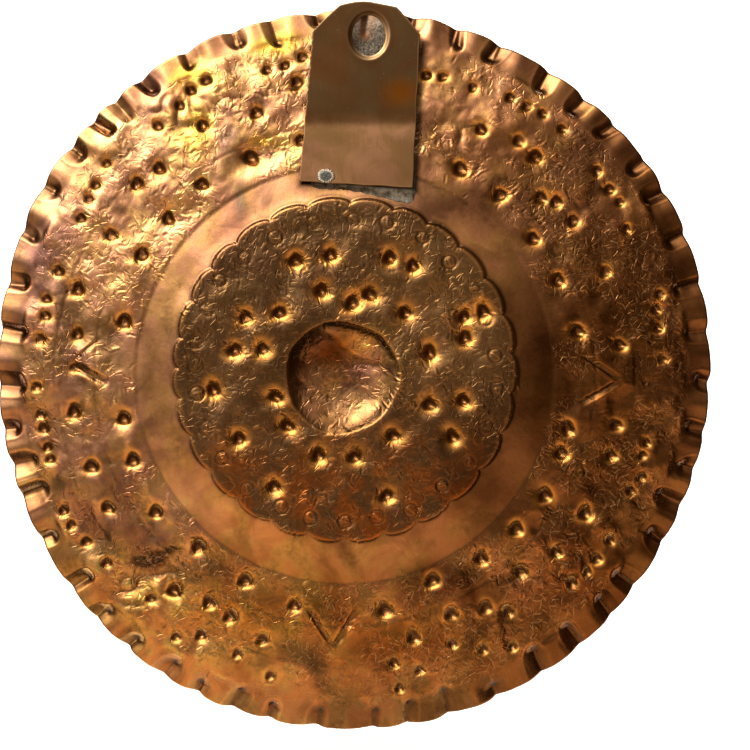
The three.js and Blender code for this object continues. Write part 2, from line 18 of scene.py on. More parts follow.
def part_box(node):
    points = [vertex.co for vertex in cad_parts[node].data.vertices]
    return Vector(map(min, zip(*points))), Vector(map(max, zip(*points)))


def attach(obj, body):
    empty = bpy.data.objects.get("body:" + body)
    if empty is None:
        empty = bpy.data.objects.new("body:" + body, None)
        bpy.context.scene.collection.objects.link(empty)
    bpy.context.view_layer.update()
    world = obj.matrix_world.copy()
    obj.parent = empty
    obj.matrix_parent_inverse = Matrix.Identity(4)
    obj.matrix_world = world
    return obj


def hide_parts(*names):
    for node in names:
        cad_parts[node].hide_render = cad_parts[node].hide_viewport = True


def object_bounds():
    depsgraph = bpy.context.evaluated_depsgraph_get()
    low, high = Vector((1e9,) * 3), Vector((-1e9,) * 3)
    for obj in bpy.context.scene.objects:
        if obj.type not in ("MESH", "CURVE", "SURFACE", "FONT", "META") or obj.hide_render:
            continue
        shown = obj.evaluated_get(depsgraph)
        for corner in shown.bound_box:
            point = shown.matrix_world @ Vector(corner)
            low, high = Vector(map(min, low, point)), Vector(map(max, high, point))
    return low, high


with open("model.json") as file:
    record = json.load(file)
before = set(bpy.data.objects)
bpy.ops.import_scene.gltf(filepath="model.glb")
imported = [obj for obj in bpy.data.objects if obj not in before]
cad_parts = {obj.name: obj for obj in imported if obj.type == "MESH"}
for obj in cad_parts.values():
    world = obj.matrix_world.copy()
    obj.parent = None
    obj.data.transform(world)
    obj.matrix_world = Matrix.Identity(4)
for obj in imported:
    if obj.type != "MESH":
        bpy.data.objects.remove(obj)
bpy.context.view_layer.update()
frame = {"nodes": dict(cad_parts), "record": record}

MM = 0.001

# Centres of the hand-laid circles, in millimetres from where the rows are laid out from, as (x, z)
PLATE_CENTRE = (0.0, 0.0)
PATTERN_CENTRE = (-4.6, -2.0)
ROSETTE_CENTRE = (-4.4, 0.2)
DISH_CENTRE = (-5.7, -2.8)

# Levels of the sheet, in millimetres, close to the CAD plate's
DISH_RADIUS = 24.0
DISH_FLOOR_RADIUS = 18.0
DISH_DEPTH = 5.2
GROOVE_START = 0.8
GROOVE_DEPTH = 2.65
GROOVE_RADIUS = 89.5
CREASE_WIDTH = 1.0
CREASE_LEVEL = 2.4
RIM_FALL = 3.1
RIM_FALL_RADIUS = 150.0
CHASED_CIRCLES = (106.0, 123.0)
SCALLOP_VALLEY = 69.0
SCALLOP_RISE = 3.0
SCALLOP_STEP = 1.7
CRIMP_LENGTH = 11.5
TAB_LEAST = (-23.9, 77.0)  # the tab's least x and z


# ---- What the CAD model says ----


def plate_origin():
    """Where the rows are laid out from, at the level of the rosette's back, in millimetres."""
    tab, plate = (np.array(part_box(node)[0]) / MM for node in ("hanger_tab", "plate"))
    return np.array([tab[0] - TAB_LEAST[0], plate[1], tab[2] - TAB_LEAST[1]])


ORIGIN = plate_origin()


def cad_mesh(node):
    """A CAD node's separate corners, in millimetres from ORIGIN, and its triangles."""
    mesh = frame["nodes"][node].data
    mesh.calc_loop_triangles()
    corners = np.empty(len(mesh.vertices) * 3)
    mesh.vertices.foreach_get("co", corners)
    triangles = np.empty(len(mesh.loop_triangles) * 3, int)
    mesh.loop_triangles.foreach_get("vertices", triangles)
    rounded = np.round(corners.reshape(-1, 3) / MM - ORIGIN, 3)
    points, index = np.unique(rounded, axis=0, return_inverse=True)
    return points, index.reshape(-1)[triangles].reshape(-1, 3)


class CadPlate:
    """The places of the CAD plate's features, read from the corners of its back surface."""

    def __init__(self):
        points, triangles = cad_mesh("plate")
        a, b, c = (points[triangles[:, k]] for k in range(3))
        self.points = points
        self.back = triangles[np.cross(b - a, c - a)[:, 1] < 0]
        self.on_back = np.unique(self.back)
        self.edges = np.concatenate([self.back[:, [0, 1]], self.back[:, [1, 2]], self.back[:, [2, 0]]])
        self.dimples = self.find_dimples()
        self.find_rim()
        x, y, z = points[self.on_back].T
        from_rosette = np.hypot(x - ROSETTE_CENTRE[0], z - ROSETTE_CENTRE[1])
        valleys = self.on_back[(np.abs(from_rosette - SCALLOP_VALLEY) < 0.12) & (y < 0.4)]
        self.valleys = self.angles(valleys, ROSETTE_CENTRE)

    def angles(self, indices, centre):
        x, _, z = self.points[indices].T
        return np.sort(np.degrees(np.arctan2(x - centre[0], z - centre[1])) % 360)

    def find_rim(self):
        """The crimps, where the outline dips, and the rim's radius half way between them."""
        pairs, uses = np.unique(np.sort(self.edges, axis=1), axis=0, return_counts=True)
        x, _, z = self.points[np.unique(pairs[uses == 1])].T
        angle, radius = np.degrees(np.arctan2(x, z)) % 360, np.hypot(x, z)
        order = np.argsort(angle)
        angle, radius = angle[order], radius[order]
        before, after = radius - np.roll(radius, 1), radius - np.roll(radius, -1)
        self.crimps = angle[(before < -0.2) & (after < -0.2)]
        lands = (before > 0) & (after > 0)
        self.lands = (angle[lands], radius[lands])

    def find_dimples(self):
        """Each punched dimple as (x, z, radius, depth): a corner deeper than all its neighbours."""
        least_depth = 1.0
        edges = np.concatenate([self.edges, self.edges[:, ::-1]])
        count = len(self.points)
        level = self.points[:, 1]
        deepest = np.full(count, -1e9)
        np.maximum.at(deepest, edges[:, 0], level[edges[:, 1]])
        gap = self.points[edges[:, 0]] - self.points[edges[:, 1]]
        total = np.bincount(edges[:, 0], np.hypot(gap[:, 0], gap[:, 2]), count)
        number = np.bincount(edges[:, 0], minlength=count)
        found = self.on_back[level[self.on_back] - deepest[self.on_back] > least_depth]
        return [
            (self.points[i, 0], self.points[i, 2], total[i] / number[i], level[i] - deepest[i])
            for i in found
        ]


cad = CadPlate()
SHEET_THICKNESS = 0.8


def land_radius(angle):
    """The rim's radius at each angle, without the dips at the crimps."""
    return np.interp(angle, *cad.lands, period=360)


# ---- The relief map ----

MAP_HALF = 157.0
MAP_STEP = 0.25
AXIS = np.arange(-MAP_HALF, MAP_HALF + MAP_STEP, MAP_STEP)
MAP_X, MAP_Z = np.meshgrid(AXIS, AXIS)


def smooth(t):
    t = np.clip(t, 0, 1)
    return t * t * (3 - 2 * t)


def bell(t, power=2):
    """1 at t = 0, falling softly to 0 past t = 1. A higher power makes its top flatter."""
    return np.exp(-(np.abs(t) ** power))


def polar(centre):
    """Distance and angle of every point of the map from a centre."""
    dx, dz = MAP_X - centre[0], MAP_Z - centre[1]
    return np.hypot(dx, dz), np.degrees(np.arctan2(dx, dz)) % 360


def at_angle(centre, angle, distance):
    turn = math.radians(angle)
    return centre[0] + distance * math.sin(turn), centre[1] + distance * math.cos(turn)


def sample(field, x, z):
    """A map's value at points given in millimetres, between its four nearest cells."""
    u = np.clip((x + MAP_HALF) / MAP_STEP, 0, len(AXIS) - 1.001)
    v = np.clip((z + MAP_HALF) / MAP_STEP, 0, len(AXIS) - 1.001)
    i, j = u.astype(int), v.astype(int)
    fu, fv = u - i, v - j
    low = field[j, i] * (1 - fu) + field[j, i + 1] * fu
    high = field[j + 1, i] * (1 - fu) + field[j + 1, i + 1] * fu
    return low * (1 - fv) + high * fv


def unevenness(seed, wavelength):
    """Seeded soft noise between -1 and 1 over the map, with bumps of about the wavelength."""
    cells = int(2 * MAP_HALF / wavelength) + 3
    grid = np.random.default_rng(seed).uniform(-1, 1, (cells, cells))
    place = (AXIS + MAP_HALF) / wavelength
    index = place.astype(int)
    share = smooth(place - index)
    rows = grid[index] * (1 - share)[:, None] + grid[index + 1] * share[:, None]
    return rows[:, index] * (1 - share) + rows[:, index + 1] * share


def window(x, z, reach):
    """The part of the map round a point, as slices and coordinates from that point."""
    low = [max(0, int((v - reach + MAP_HALF) / MAP_STEP)) for v in (z, x)]
    high = [int((v + reach + MAP_HALF) / MAP_STEP) + 2 for v in (z, x)]
    part = (slice(low[0], high[0]), slice(low[1], high[1]))
    return part, MAP_X[part] - x, MAP_Z[part] - z


def neighbours(marks, angle):
    """For each angle, the number of the stretch between two marks it is in, and that stretch's ends."""
    around = np.concatenate([[marks[-1] - 360], marks, [marks[0] + 360]])
    index = np.clip(np.searchsorted(around, angle, side="right") - 1, 0, len(marks))
    return index, around[index], around[index + 1]


def turned(dx, dz, turn):
    """Distances along and across a direction, which is in radians from +x towards +z."""
    cos, sin = math.cos(turn), math.sin(turn)
    return dx * cos + dz * sin, dz * cos - dx * sin


def rosette_edge(angle):
    """Radius of the rosette's scalloped edge at each angle, lobes between the CAD's valleys."""
    _, start, end = neighbours(cad.valleys, angle)
    across = (2 * angle - start - end) / (end - start)
    return SCALLOP_VALLEY + SCALLOP_RISE * np.sqrt(np.clip(1 - across**2, 0, 1))


def masks():
    """Soft maps of the plate's zones, from 0 to 1."""
    r, _ = polar(PATTERN_CENTRE)
    from_centre, angle = polar(ROSETTE_CENTRE)
    past_rosette = from_centre - rosette_edge(angle)
    dish, _ = polar(DISH_CENTRE)
    plate, turn = polar(PLATE_CENTRE)
    inset = land_radius(turn) - plate
    inside_crease = 1 - smooth((r - GROOVE_RADIUS + 1.6 * CREASE_WIDTH) / (2 * CREASE_WIDTH))
    rosette = 1 - smooth(past_rosette / SCALLOP_STEP)
    rim = smooth((CRIMP_LENGTH - inset) / 3)
    return {
        "dish": 1 - smooth((dish - DISH_FLOOR_RADIUS) / (DISH_RADIUS - DISH_FLOOR_RADIUS)),
        "rosette": rosette,
        "band": (1 - inside_crease) * (1 - rim),
        "rim": rim,
        "crease": inside_crease,
        "inset": inset,
    }


ZONE = masks()


def base_level():
    """The sheet's large form: rosette, groove ring and bands, each falling away outwards, and dish."""
    r, _ = polar(PATTERN_CENTRE)
    outwards = np.clip((r - GROOVE_RADIUS) / (RIM_FALL_RADIUS - GROOVE_RADIUS), 0, None)
    band = CREASE_LEVEL + RIM_FALL * outwards**1.3
    across = np.clip((r - SCALLOP_VALLEY) / (GROOVE_RADIUS - SCALLOP_VALLEY), 0, 1)
    shoulder = 0.45 + 0.55 * smooth(across * 2)
    groove = GROOVE_START * shoulder + (GROOVE_DEPTH - GROOVE_START) * across**1.2
    level = groove * (1 - ZONE["rosette"]) * ZONE["crease"] + band * (1 - ZONE["crease"])
    return level + dish_relief()


def dish_relief():
    """The central dish: a soft bowl with a flat place at its upper right and a dented floor."""
    r, angle = polar(DISH_CENTRE)
    turn = np.radians(angle)
    wander = 1 + 0.025 * np.sin(3 * turn + 0.7) + 0.012 * np.sin(7 * turn)
    shaped = r * wander / DISH_RADIUS
    inside = np.clip(1 - shaped**2.8, 0, 1)
    dx, dz = MAP_X - DISH_CENTRE[0], MAP_Z - DISH_CENTRE[1]
    chord = (0.45 * dx + 0.89 * dz) - 10.5 - 0.02 * (0.89 * dx - 0.45 * dz) ** 2
    flat = smooth(chord / 4 + 0.5) * smooth(inside * 2.4)
    bowl = DISH_DEPTH * inside
    shelf = 1.6 + 0.16 * (DISH_RADIUS - r) + 0.25 * unevenness(6, 4)
    dents = 0.55 * unevenness(3, 11) + 0.2 * unevenness(4, 5) + 0.06 * unevenness(5, 2.2)
    return bowl + (shelf - bowl) * 0.7 * flat + dents * smooth(inside * 2.2)


CRUMPLES = [
    # centre (x, z) and reach (x, z) of each crumpled place, in millimetres
    (-88, -92, 20, 14),
    (-72, 112, 22, 16),
    (44, 100, 12, 16),
    (86, -84, 20, 12),
]
HOLLOWS = [
    # centre (x, z), long and short reach, turn in degrees from +x towards +z, and depth
    (-85, -86, 15, 8, 12, 2.6),
    (-113, -68, 14, 5, -50, 1.1),
    (-61, -78, 12, 5, -38, 1.0),
    (12, -102, 7, 7, 0, 1.0),
    (85, -62, 10, 8, 40, 1.0),
    (-40, 92, 12, 8, 20, 1.4),
]


def crumpled():
    """Soft map, from 0 to 1, of the crumpled places."""
    return sum(
        bell(np.hypot((MAP_X - x) / wide, (MAP_Z - z) / tall), 3) for x, z, wide, tall in CRUMPLES
    )


def hollows():
    """Broad dents with wandering edges."""
    total = np.zeros_like(MAP_X)
    drift_x, drift_z = 1.6 * unevenness(17, 9), 1.6 * unevenness(18, 9)
    for x, z, wide, tall, turn, depth in HOLLOWS:
        along, across = turned(MAP_X - x + drift_x, MAP_Z - z + drift_z, math.radians(turn))
        total += depth * bell(np.hypot(along / wide, across / tall))
    return total


def hammered_unevenness():
    """Soft waves that hand hammering leaves, strongest in the bands."""
    band = smooth((polar(PATTERN_CENTRE)[0] - GROOVE_RADIUS) / 9)
    rosette = smooth((SCALLOP_VALLEY - polar(ROSETTE_CENTRE)[0]) / 9)
    worked = band * ZONE["band"] + 0.8 * rosette * (1 - ZONE["dish"])
    broad = 0.7 * unevenness(11, 22) * (0.3 + 0.7 * worked)
    middling = 0.5 * unevenness(12, 9) * (0.08 + 0.92 * worked)
    small = 0.13 * unevenness(13, 3.6) * (0.03 + 0.97 * worked)
    creases = 0.3 * (1 - np.abs(unevenness(15, 6)) * 2) + 0.16 * unevenness(16, 3)
    small += (creases * crumpled() + hollows()) * worked
    return broad + middling + small + 0.03 * unevenness(14, 1.4) * (0.2 + 0.8 * worked)


# How the punch struck: shares of the CAD's radius and depth, then the pit's flatness, width and the reach
# of its painted shade
ON_ROSETTE = (1.22, 1.0, 2.4, 0.58, 0.6)
ON_BAND = (1.05, 0.85, 3.4, 0.76, 0.82)


def punch_dimples(relief, marks, glow):
    """Strikes each dimple of the CAD: a round pit in a soft hollow, with fine cracks round it, and paints
    shade into the pit.
    """
    rng = np.random.default_rng(21)
    for x, z, radius, depth in cad.dimples:
        stretch, turn, size, hit = rng.uniform([0.85, 0, 0.85, 0.85], [1.18, math.pi, 1.1, 1.1])
        lean_x, lean_z = rng.uniform(-0.5, 0.5, 2)
        on_rosette = math.hypot(x - ROSETTE_CENTRE[0], z - ROSETTE_CENTRE[1]) < SCALLOP_VALLEY
        broader, deeper, flat, wide, hold = ON_ROSETTE if on_rosette else ON_BAND
        radius, depth = radius * broader, depth * deeper
        part, dx, dz = window(x, z, radius * 3.6)
        along, across = turned(dx, dz, turn)
        lobes = 1 + 0.1 * np.sin(3 * np.arctan2(dz, dx) + 6 * hit)
        away = np.hypot(along * stretch, across / stretch) / (radius * size) * lobes
        hollow = bell(np.hypot(dx - lean_x, dz - lean_z) / (radius * 1.12))
        pit = bell(away / wide, flat)
        relief[part] += depth * hit * (0.45 * pit + 0.55 * hollow)
        # Painted shade: a dark core a little up and left of the pit's middle, spared at the lower right
        # where the highlight falls
        core = np.hypot(dx + 0.12 * radius, dz - 0.08 * radius) / (radius * size)
        lit = bell(np.hypot(dx - 0.42 * radius, dz + 0.46 * radius) / (0.4 * radius))
        marks[part] = np.maximum(marks[part], bell(core / hold, 5) * (1 - 0.9 * lit))
        glow[part] = np.maximum(glow[part], bell(away / 1.3, 4))
        for turn in rng.uniform(0, 2 * math.pi, 7):
            reach = radius * rng.uniform(1.5, 2.0)
            start = (x + reach * math.sin(turn), z + reach * math.cos(turn))
            cut_stroke(relief, *start, math.pi / 2 - turn, radius * 1.3, 0.4, rng.uniform(-0.06, 0.08))


def flute_rim(relief):
    """The rim waves between neighbouring crimps, more and more towards its edge."""
    _, angle = polar(PLATE_CENTRE)
    index, start, end = neighbours(cad.crimps, angle)
    share = (angle - start) / (end - start)
    heights = np.random.default_rng(33).uniform(0.5, 1.5, len(cad.crimps) + 2)[index]
    wave = 0.5 + 0.5 * np.cos(2 * math.pi * share) + 0.12 * np.sin(4 * math.pi * share)
    relief += heights * wave * smooth((13 - ZONE["inset"]) / 9)


def press_crimps(relief, marks):
    """Presses a thumb-shaped pocket into the rim at each crimp, with a sharp fold along it, and paints
    shade into the pocket.
    """
    rng = np.random.default_rng(31)
    r, angle = polar(PLATE_CENTRE)
    for crimp in cad.crimps:
        x, z = at_angle(PLATE_CENTRE, crimp, land_radius(crimp) - 6)
        part, _, _ = window(x, z, 16)
        length, half, scoop, cut, slant, lean, offset = rng.uniform(
            [8.0, 3.0, 0.6, 0.3, -0.25, -0.7, -1.4], [14.0, 5.6, 1.5, 1.0, 0.25, 0.7, 1.4]
        )
        out = length - ZONE["inset"][part]
        side = (angle[part] - crimp + 180) % 360 - 180
        side = side * r[part] * math.pi / 180 - slant * (out - length)
        round_end = np.clip(out / (half * 1.3), 0, 1)
        width = half * np.sqrt(np.clip(round_end * (2 - round_end), 0.0001, 1)) + 0.04 * out
        across = np.clip(1 - (side / width) ** 2, 0, 1)
        deeper = 1 - 0.45 * smooth(out / length)
        bowl = scoop * deeper * across**1.5 * (1 + lean * side / width) * smooth(out / 4)
        fold = bell((side - offset) / 1.5, 1.3) * smooth((out - 1.5) / 2.5)
        end = bell(np.hypot(side - offset, out - 2.8) / 2, 2.5)
        crease = 0.08 * bell((np.abs(side) - width - 0.3) / 0.5) * smooth(out / 2)
        relief[part] += np.where(out > 0, bowl + cut * fold + 0.2 * end - crease, 0)
        # Painted shade: dark at the pocket's inner end and beside the fold's left side, faint over the
        # whole bowl
        left = bell((side - offset + 1.2) / 1.1) * smooth(out / 3)
        dark = np.maximum(end, np.maximum(0.75 * left, 0.25 * across))
        marks[part] = np.maximum(marks[part], np.where(out > 0, dark, 0))


def cut_stroke(relief, x, z, turn, length, width, depth, bend=0.0, raised=0.3):
    """One chisel stroke: a groove with tapered ends and a small burr on each side."""
    part, dx, dz = window(x, z, length / 2 + width * 2)
    along, across = turned(dx, dz, turn)
    across = across - bend * along**2
    ends = np.clip(1 - (2 * along / length) ** 4, 0, 1)
    groove = np.clip(1 - (across / width) ** 2, 0, 1) ** 1.5
    burr = bell((np.abs(across) - 1.25 * width) / (0.4 * width))
    relief[part] += depth * ends * (groove - raised * burr)


def texture_share():
    """How much of the fine chasing each place of the map has, patchy in the bands."""
    patches = smooth((unevenness(43, 15) + 0.6 * unevenness(44, 6) + 0.55) / 0.7)
    worked = ZONE["band"] * (0.1 + 0.9 * patches)
    return np.clip(worked + (0.4 + 0.6 * patches) * ZONE["rosette"], 0, 1)


def chase_background(relief, share):
    """Short chasing strokes at random over the bands and the rosette, seeded."""
    rng = np.random.default_rng(41)
    density, reach = 0.11, 140
    for _ in range(int(density * math.pi * reach**2)):
        radius = reach * math.sqrt(rng.random())
        x, z = at_angle(PLATE_CENTRE, rng.uniform(0, 360), radius)
        turn, length, width, depth, bend, keep = rng.uniform(
            [0, 2.2, 0.5, 0.05, -0.08, 0], [2 * math.pi, 4.6, 0.75, 0.17, 0.08, 1]
        )
        here = share[int((z + MAP_HALF) / MAP_STEP), int((x + MAP_HALF) / MAP_STEP)]
        sign = 1 if rng.random() < 0.6 else -1
        if keep < here:
            cut_stroke(relief, x, z, turn, length, width, sign * depth, bend)


def stamp_rosette(relief):
    """One ring stamp inside each valley of the rosette's edge, with a raised stroke across it."""
    rng = np.random.default_rng(51)
    width = 0.5
    for valley in cad.valleys:
        x, z = at_angle(ROSETTE_CENTRE, valley + rng.uniform(-1.5, 1.5), rng.uniform(63, 65.5))
        radius, depth = rng.uniform(2.5, 3.2), rng.uniform(0.16, 0.34)
        part, dx, dz = window(x, z, radius + 3 * width)
        relief[part] += depth * bell((np.hypot(dx, dz) - radius) / width)
        cut_stroke(relief, x, z, rng.uniform(0, 3.1), 4.2, width, -0.22)


def chase_circles(relief):
    """The two faint circles that divide the bands, cut unevenly."""
    r, _ = polar(PATTERN_CENTRE)
    patchy = 0.6 + 0.4 * unevenness(61, 30)
    for radius, depth in zip(CHASED_CIRCLES, (0.2, 0.13)):
        wander = 0.6 * unevenness(62, 26)
        relief += depth * patchy * bell((r - radius - wander) / 0.7)


CHEVRONS = [
    # apex, then the end and half width of each of its two arms, in millimetres as (x, z)
    ((-121.2, 3.2), ((-108.1, 13.8), 0.8), ((-104.7, -5.7), 1.9)),
    ((112.8, -4.4), ((96.7, 6.6), 1.3), ((95.4, -14.2), 1.4)),
    ((-9.1, -117.8), ((-20.5, -100.1), 1.2), ((1.1, -100.7), 1.5)),
]


def cut_chevrons(relief):
    """Each arm is a wide shallow stroke with a narrow dark line beside its middle."""
    for apex, *arms in CHEVRONS:
        for end, half in arms:
            dx, dz = end[0] - apex[0], end[1] - apex[1]
            middle = ((apex[0] + end[0]) / 2, (apex[1] + end[1]) / 2)
            turn = math.atan2(dz, dx)
            length = math.hypot(dx, dz)
            cut_stroke(relief, *middle, turn, length, 1.3 * half, 0.34 * half, raised=0.05)
            line = (middle[0] - 0.75 * half, middle[1])
            cut_stroke(relief, *line, turn, 0.95 * length, 0.3 * half + 0.2, 0.28, raised=0.05)


def relief_map():
    """The back's recess, maps of the painted shade in the dimples' pits and the crimps' folds, and the
    struck metal.
    """
    relief = base_level() + hammered_unevenness()
    pits, pockets, glow = (np.zeros_like(relief) for _ in range(3))
    chase_circles(relief)
    chase_background(relief, TEXTURE)
    stamp_rosette(relief)
    cut_chevrons(relief)
    punch_dimples(relief, pits, glow)
    flute_rim(relief)
    press_crimps(relief, pockets)
    return relief, pits, pockets, glow


TEXTURE = texture_share()
RELIEF, PAINTED_PIT_SHADE, PAINTED_POCKET_SHADE, GLOW = relief_map()

STAINS_AND_PAINTED_LIGHT = [
    # centre (x, z) and reach (x, z) of each stain, in millimetres, and how it scales red, green and blue:
    # below 1 darkens (real discolouring, and painted shade along the right side), above 1 lightens as a
    # painted highlight
    (-83, 3, 11, 24, 0.6, 0.56, 0.52),
    (78, -2, 12, 45, 0.52, 0.46, 0.38),
    (-112, -48, 24, 34, 0.6, 0.58, 0.68),
    (-118, 12, 22, 28, 0.52, 0.52, 0.58),
    (-132, 48, 16, 26, 0.66, 0.64, 0.9),
    (-146, 0, 10, 44, 0.6, 0.58, 0.66),
    (44, 66, 22, 12, 0.6, 0.56, 0.52),
    (-40, -104, 34, 16, 0.78, 0.8, 0.5),
    (14, -112, 34, 14, 0.72, 0.6, 0.42),
    (60, -95, 30, 14, 0.78, 0.74, 0.8),
    (96, -86, 22, 26, 0.7, 0.6, 0.5),
    (108, -2, 22, 58, 0.54, 0.48, 0.36),
    (-16, 8, 14, 13, 0.24, 0.13, 0.04),
    (42, 18, 22, 36, 1.7, 1.7, 1.6),
    (-54, 58, 18, 18, 0.72, 0.66, 0.74),
    (-100, -74, 28, 20, 0.8, 0.84, 1),
    (96, 60, 26, 34, 0.78, 0.75, 0.7),
    (62, 92, 22, 20, 0.72, 0.66, 0.56),
    (52, -44, 18, 24, 0.5, 0.47, 0.48),
    (0, 13, 14, 6, 1.5, 1.45, 1),
    (76, -88, 16, 8, 1.5, 1.5, 1.6),
    (-4, -4, 9, 8, 0.5, 0.46, 0.62),
    (-23, -121, 7, 4, 0.35, 0.45, 0.6),
    (-49, 72, 5, 6, 0.5, 0.62, 0.8),
    (-8, -76, 7, 8, 0.55, 0.5, 0.55),
    (-88, -92, 16, 10, 1.2, 1.4, 1.1),
    (-80, -70, 12, 8, 0.42, 0.4, 0.48),
    (-62, -84, 13, 7, 0.42, 0.38, 0.42),
    (-68, -60, 13, 12, 1.2, 1.26, 1.38),
    (-75, 95, 30, 20, 1, 1.04, 1.1),
    (-86, 118, 10, 9, 0.8, 0.74, 1.05),
    (-71, 124, 9, 6, 1.05, 1.15, 0.4),
    (-69, 101, 7, 13, 1.05, 1.15, 0.4),
    (-36, 96, 10, 6, 1.05, 1.15, 0.4),
    (-31, 138, 12, 5, 1.05, 1.1, 0.4),
    (-56, 96, 6, 6, 0.75, 0.78, 1.2),
    (38, -90, 22, 8, 0.44, 0.38, 0.34),
    (71, -66, 9, 18, 0.62, 0.56, 0.5),
]


def stains_and_painted_light():
    """Brown and grey discolouring with wandering edges, together with painted highlights and painted
    shade, as red, green and blue maps.
    """
    wavy_x = MAP_X + 7 * unevenness(101, 24) + 2.5 * unevenness(102, 7)
    wavy_z = MAP_Z + 7 * unevenness(103, 24) + 2.5 * unevenness(104, 7)
    tint = [np.ones_like(MAP_X) for _ in range(3)]
    for x, z, wide, tall, *colour in STAINS_AND_PAINTED_LIGHT:
        share = bell(np.hypot((wavy_x - x) / wide, (wavy_z - z) / tall), 2.5)
        tint = [layer * (1 - share * (1 - part)) for layer, part in zip(tint, colour)]
    return tint


# ---- Mesh helpers ----


def add_object(name, data):
    made = bpy.data.objects.new(name, data)
    bpy.context.scene.collection.objects.link(made)
    return made


def smooth_object(name, vertices, faces, material):
    """A smooth-shaded mesh object from vertices in metres."""
    mesh = bpy.data.meshes.new(name)
    mesh.from_pydata(vertices, [], faces)
    mesh.polygons.foreach_set("use_smooth", [True] * len(mesh.polygons))
    mesh.validate()
    mesh.materials.append(material)
    return add_object(name, mesh)


def make_piece(name, points, faces, material, node):
    """A piece from points in millimetres from ORIGIN, standing for a CAD node."""
    piece = smooth_object(name, ((points + ORIGIN) * MM).tolist(), faces, material)
    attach(piece, "root")
    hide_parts(node)
    return piece


def add_values(piece, name, *values):
    """Up to three numbers per vertex, for the material to read as one colour attribute."""
    layer = piece.data.attributes.new(name, "FLOAT_COLOR", "POINT")
    colours = np.ones((len(values[0]), 4), np.float32)
    colours[:, :len(values)] = np.stack(values, axis=1)
    layer.data.foreach_set("color", colours.reshape(-1))


# ---- The plate ----

GRID_RADIUS = 150.0  # of the outermost ring, before it is drawn to the crimped outline
GRID_STEP = 0.55
EDGE_BULGE = 0.3
TINNED_RADIUS = 10.5


def ring_plan():
    """Radius and number of points of each ring: the number doubles outwards, so cells stay alike."""
    rings = []
    count = 50
    for inner, outer in [(0.5, 4), (4, 9), (9, 18), (18, 36), (36, 74), (74, GRID_RADIUS)]:
        steps = round((outer - inner) / GRID_STEP)
        rings += [(inner + (outer - inner) * k / steps, count) for k in range(steps)]
        count *= 2
    return rings + [(GRID_RADIUS, rings[-1][1])]


def outline_radius(angle):
    """The rim's radius at each angle: it dips at each crimp, some deeper than others."""
    rng = np.random.default_rng(15)
    radius = land_radius(angle) + 0.25 * np.sin(np.radians(angle) * 37) * np.sin(np.radians(angle) * 5)
    for crimp in cad.crimps:
        apart = (angle - crimp + 180) % 360 - 180
        dip, skew = rng.uniform([0.35, -0.5], [1.1, 0.5])
        wide = 1.3 * np.where(apart > 0, 1 + skew, 1 - skew)
        radius -= dip * bell(apart / wide, 1.6)
    return radius


def plate_points(rings):
    """(x, z) of every grid point, the outer rings drawn to the crimped outline."""
    parts = []
    for radius, count in rings:
        angle = np.arange(count) * 360.0 / count
        rim = outline_radius(angle) / GRID_RADIUS - 1
        pulled = radius * (1 + rim * smooth((radius - 130) / 20))
        turn = np.radians(angle)
        parts.append(np.stack([pulled * np.sin(turn), pulled * np.cos(turn)], axis=1))
    return np.concatenate([[[0.0, 0.0]], *parts])


def ring_faces(inner, inner_count, outer, outer_count):
    """Faces between two rings, the outer one with as many or twice as many points."""
    faces = []
    for j in range(inner_count):
        k = (j + 1) % inner_count
        if outer_count == inner_count:
            faces.append((inner + j, inner + k, outer + k, outer + j))
            continue
        first, middle = outer + 2 * j, outer + 2 * j + 1
        last = outer + (2 * j + 2) % outer_count
        faces += [(inner + j, middle, first), (inner + j, inner + k, middle), (inner + k, last, middle)]
    return faces


def disc_faces(rings):
    """Faces of a disc of rings round a middle point, facing -Y, and where its last ring starts."""
    start = 1
    count = rings[0][1]
    faces = [(0, start + (j + 1) % count, start + j) for j in range(count)]
    for (_, inner_count), (_, outer_count) in zip(rings, rings[1:]):
        faces += ring_faces(start, inner_count, start + inner_count, outer_count)
        start += inner_count
    return faces, start


def build_plate(material):
    """Both faces of the sheet and its rounded edge, all from the relief map."""
    rings = ring_plan()
    flat = plate_points(rings)
    x, z = flat.T
    back = np.stack([x, sample(RELIEF, x, z), z], axis=1)
    front = back + [0, SHEET_THICKNESS, 0]
    faces, rim = disc_faces(rings)
    count, around = len(flat), rings[-1][1]
    edge = (back[rim:] + front[rim:]) / 2
    edge[:, [0, 2]] *= 1 + EDGE_BULGE / GRID_RADIUS
    walls = []
    for j in range(around):
        k = (j + 1) % around
        walls.append((rim + j, rim + k, 2 * count + k, 2 * count + j))
        walls.append((2 * count + j, 2 * count + k, count + rim + k, count + rim + j))
    front_faces = [tuple(v + count for v in reversed(face)) for face in faces]
    points = np.concatenate([back, front, edge])
    piece = make_piece("copper_plate", points, faces + front_faces + walls, material, "plate")
    on_back = np.concatenate([np.ones(count), np.zeros(count + around)])
    add_plate_values(piece, *(np.concatenate([v, v, v[rim:]]) for v in (x, z)), on_back)


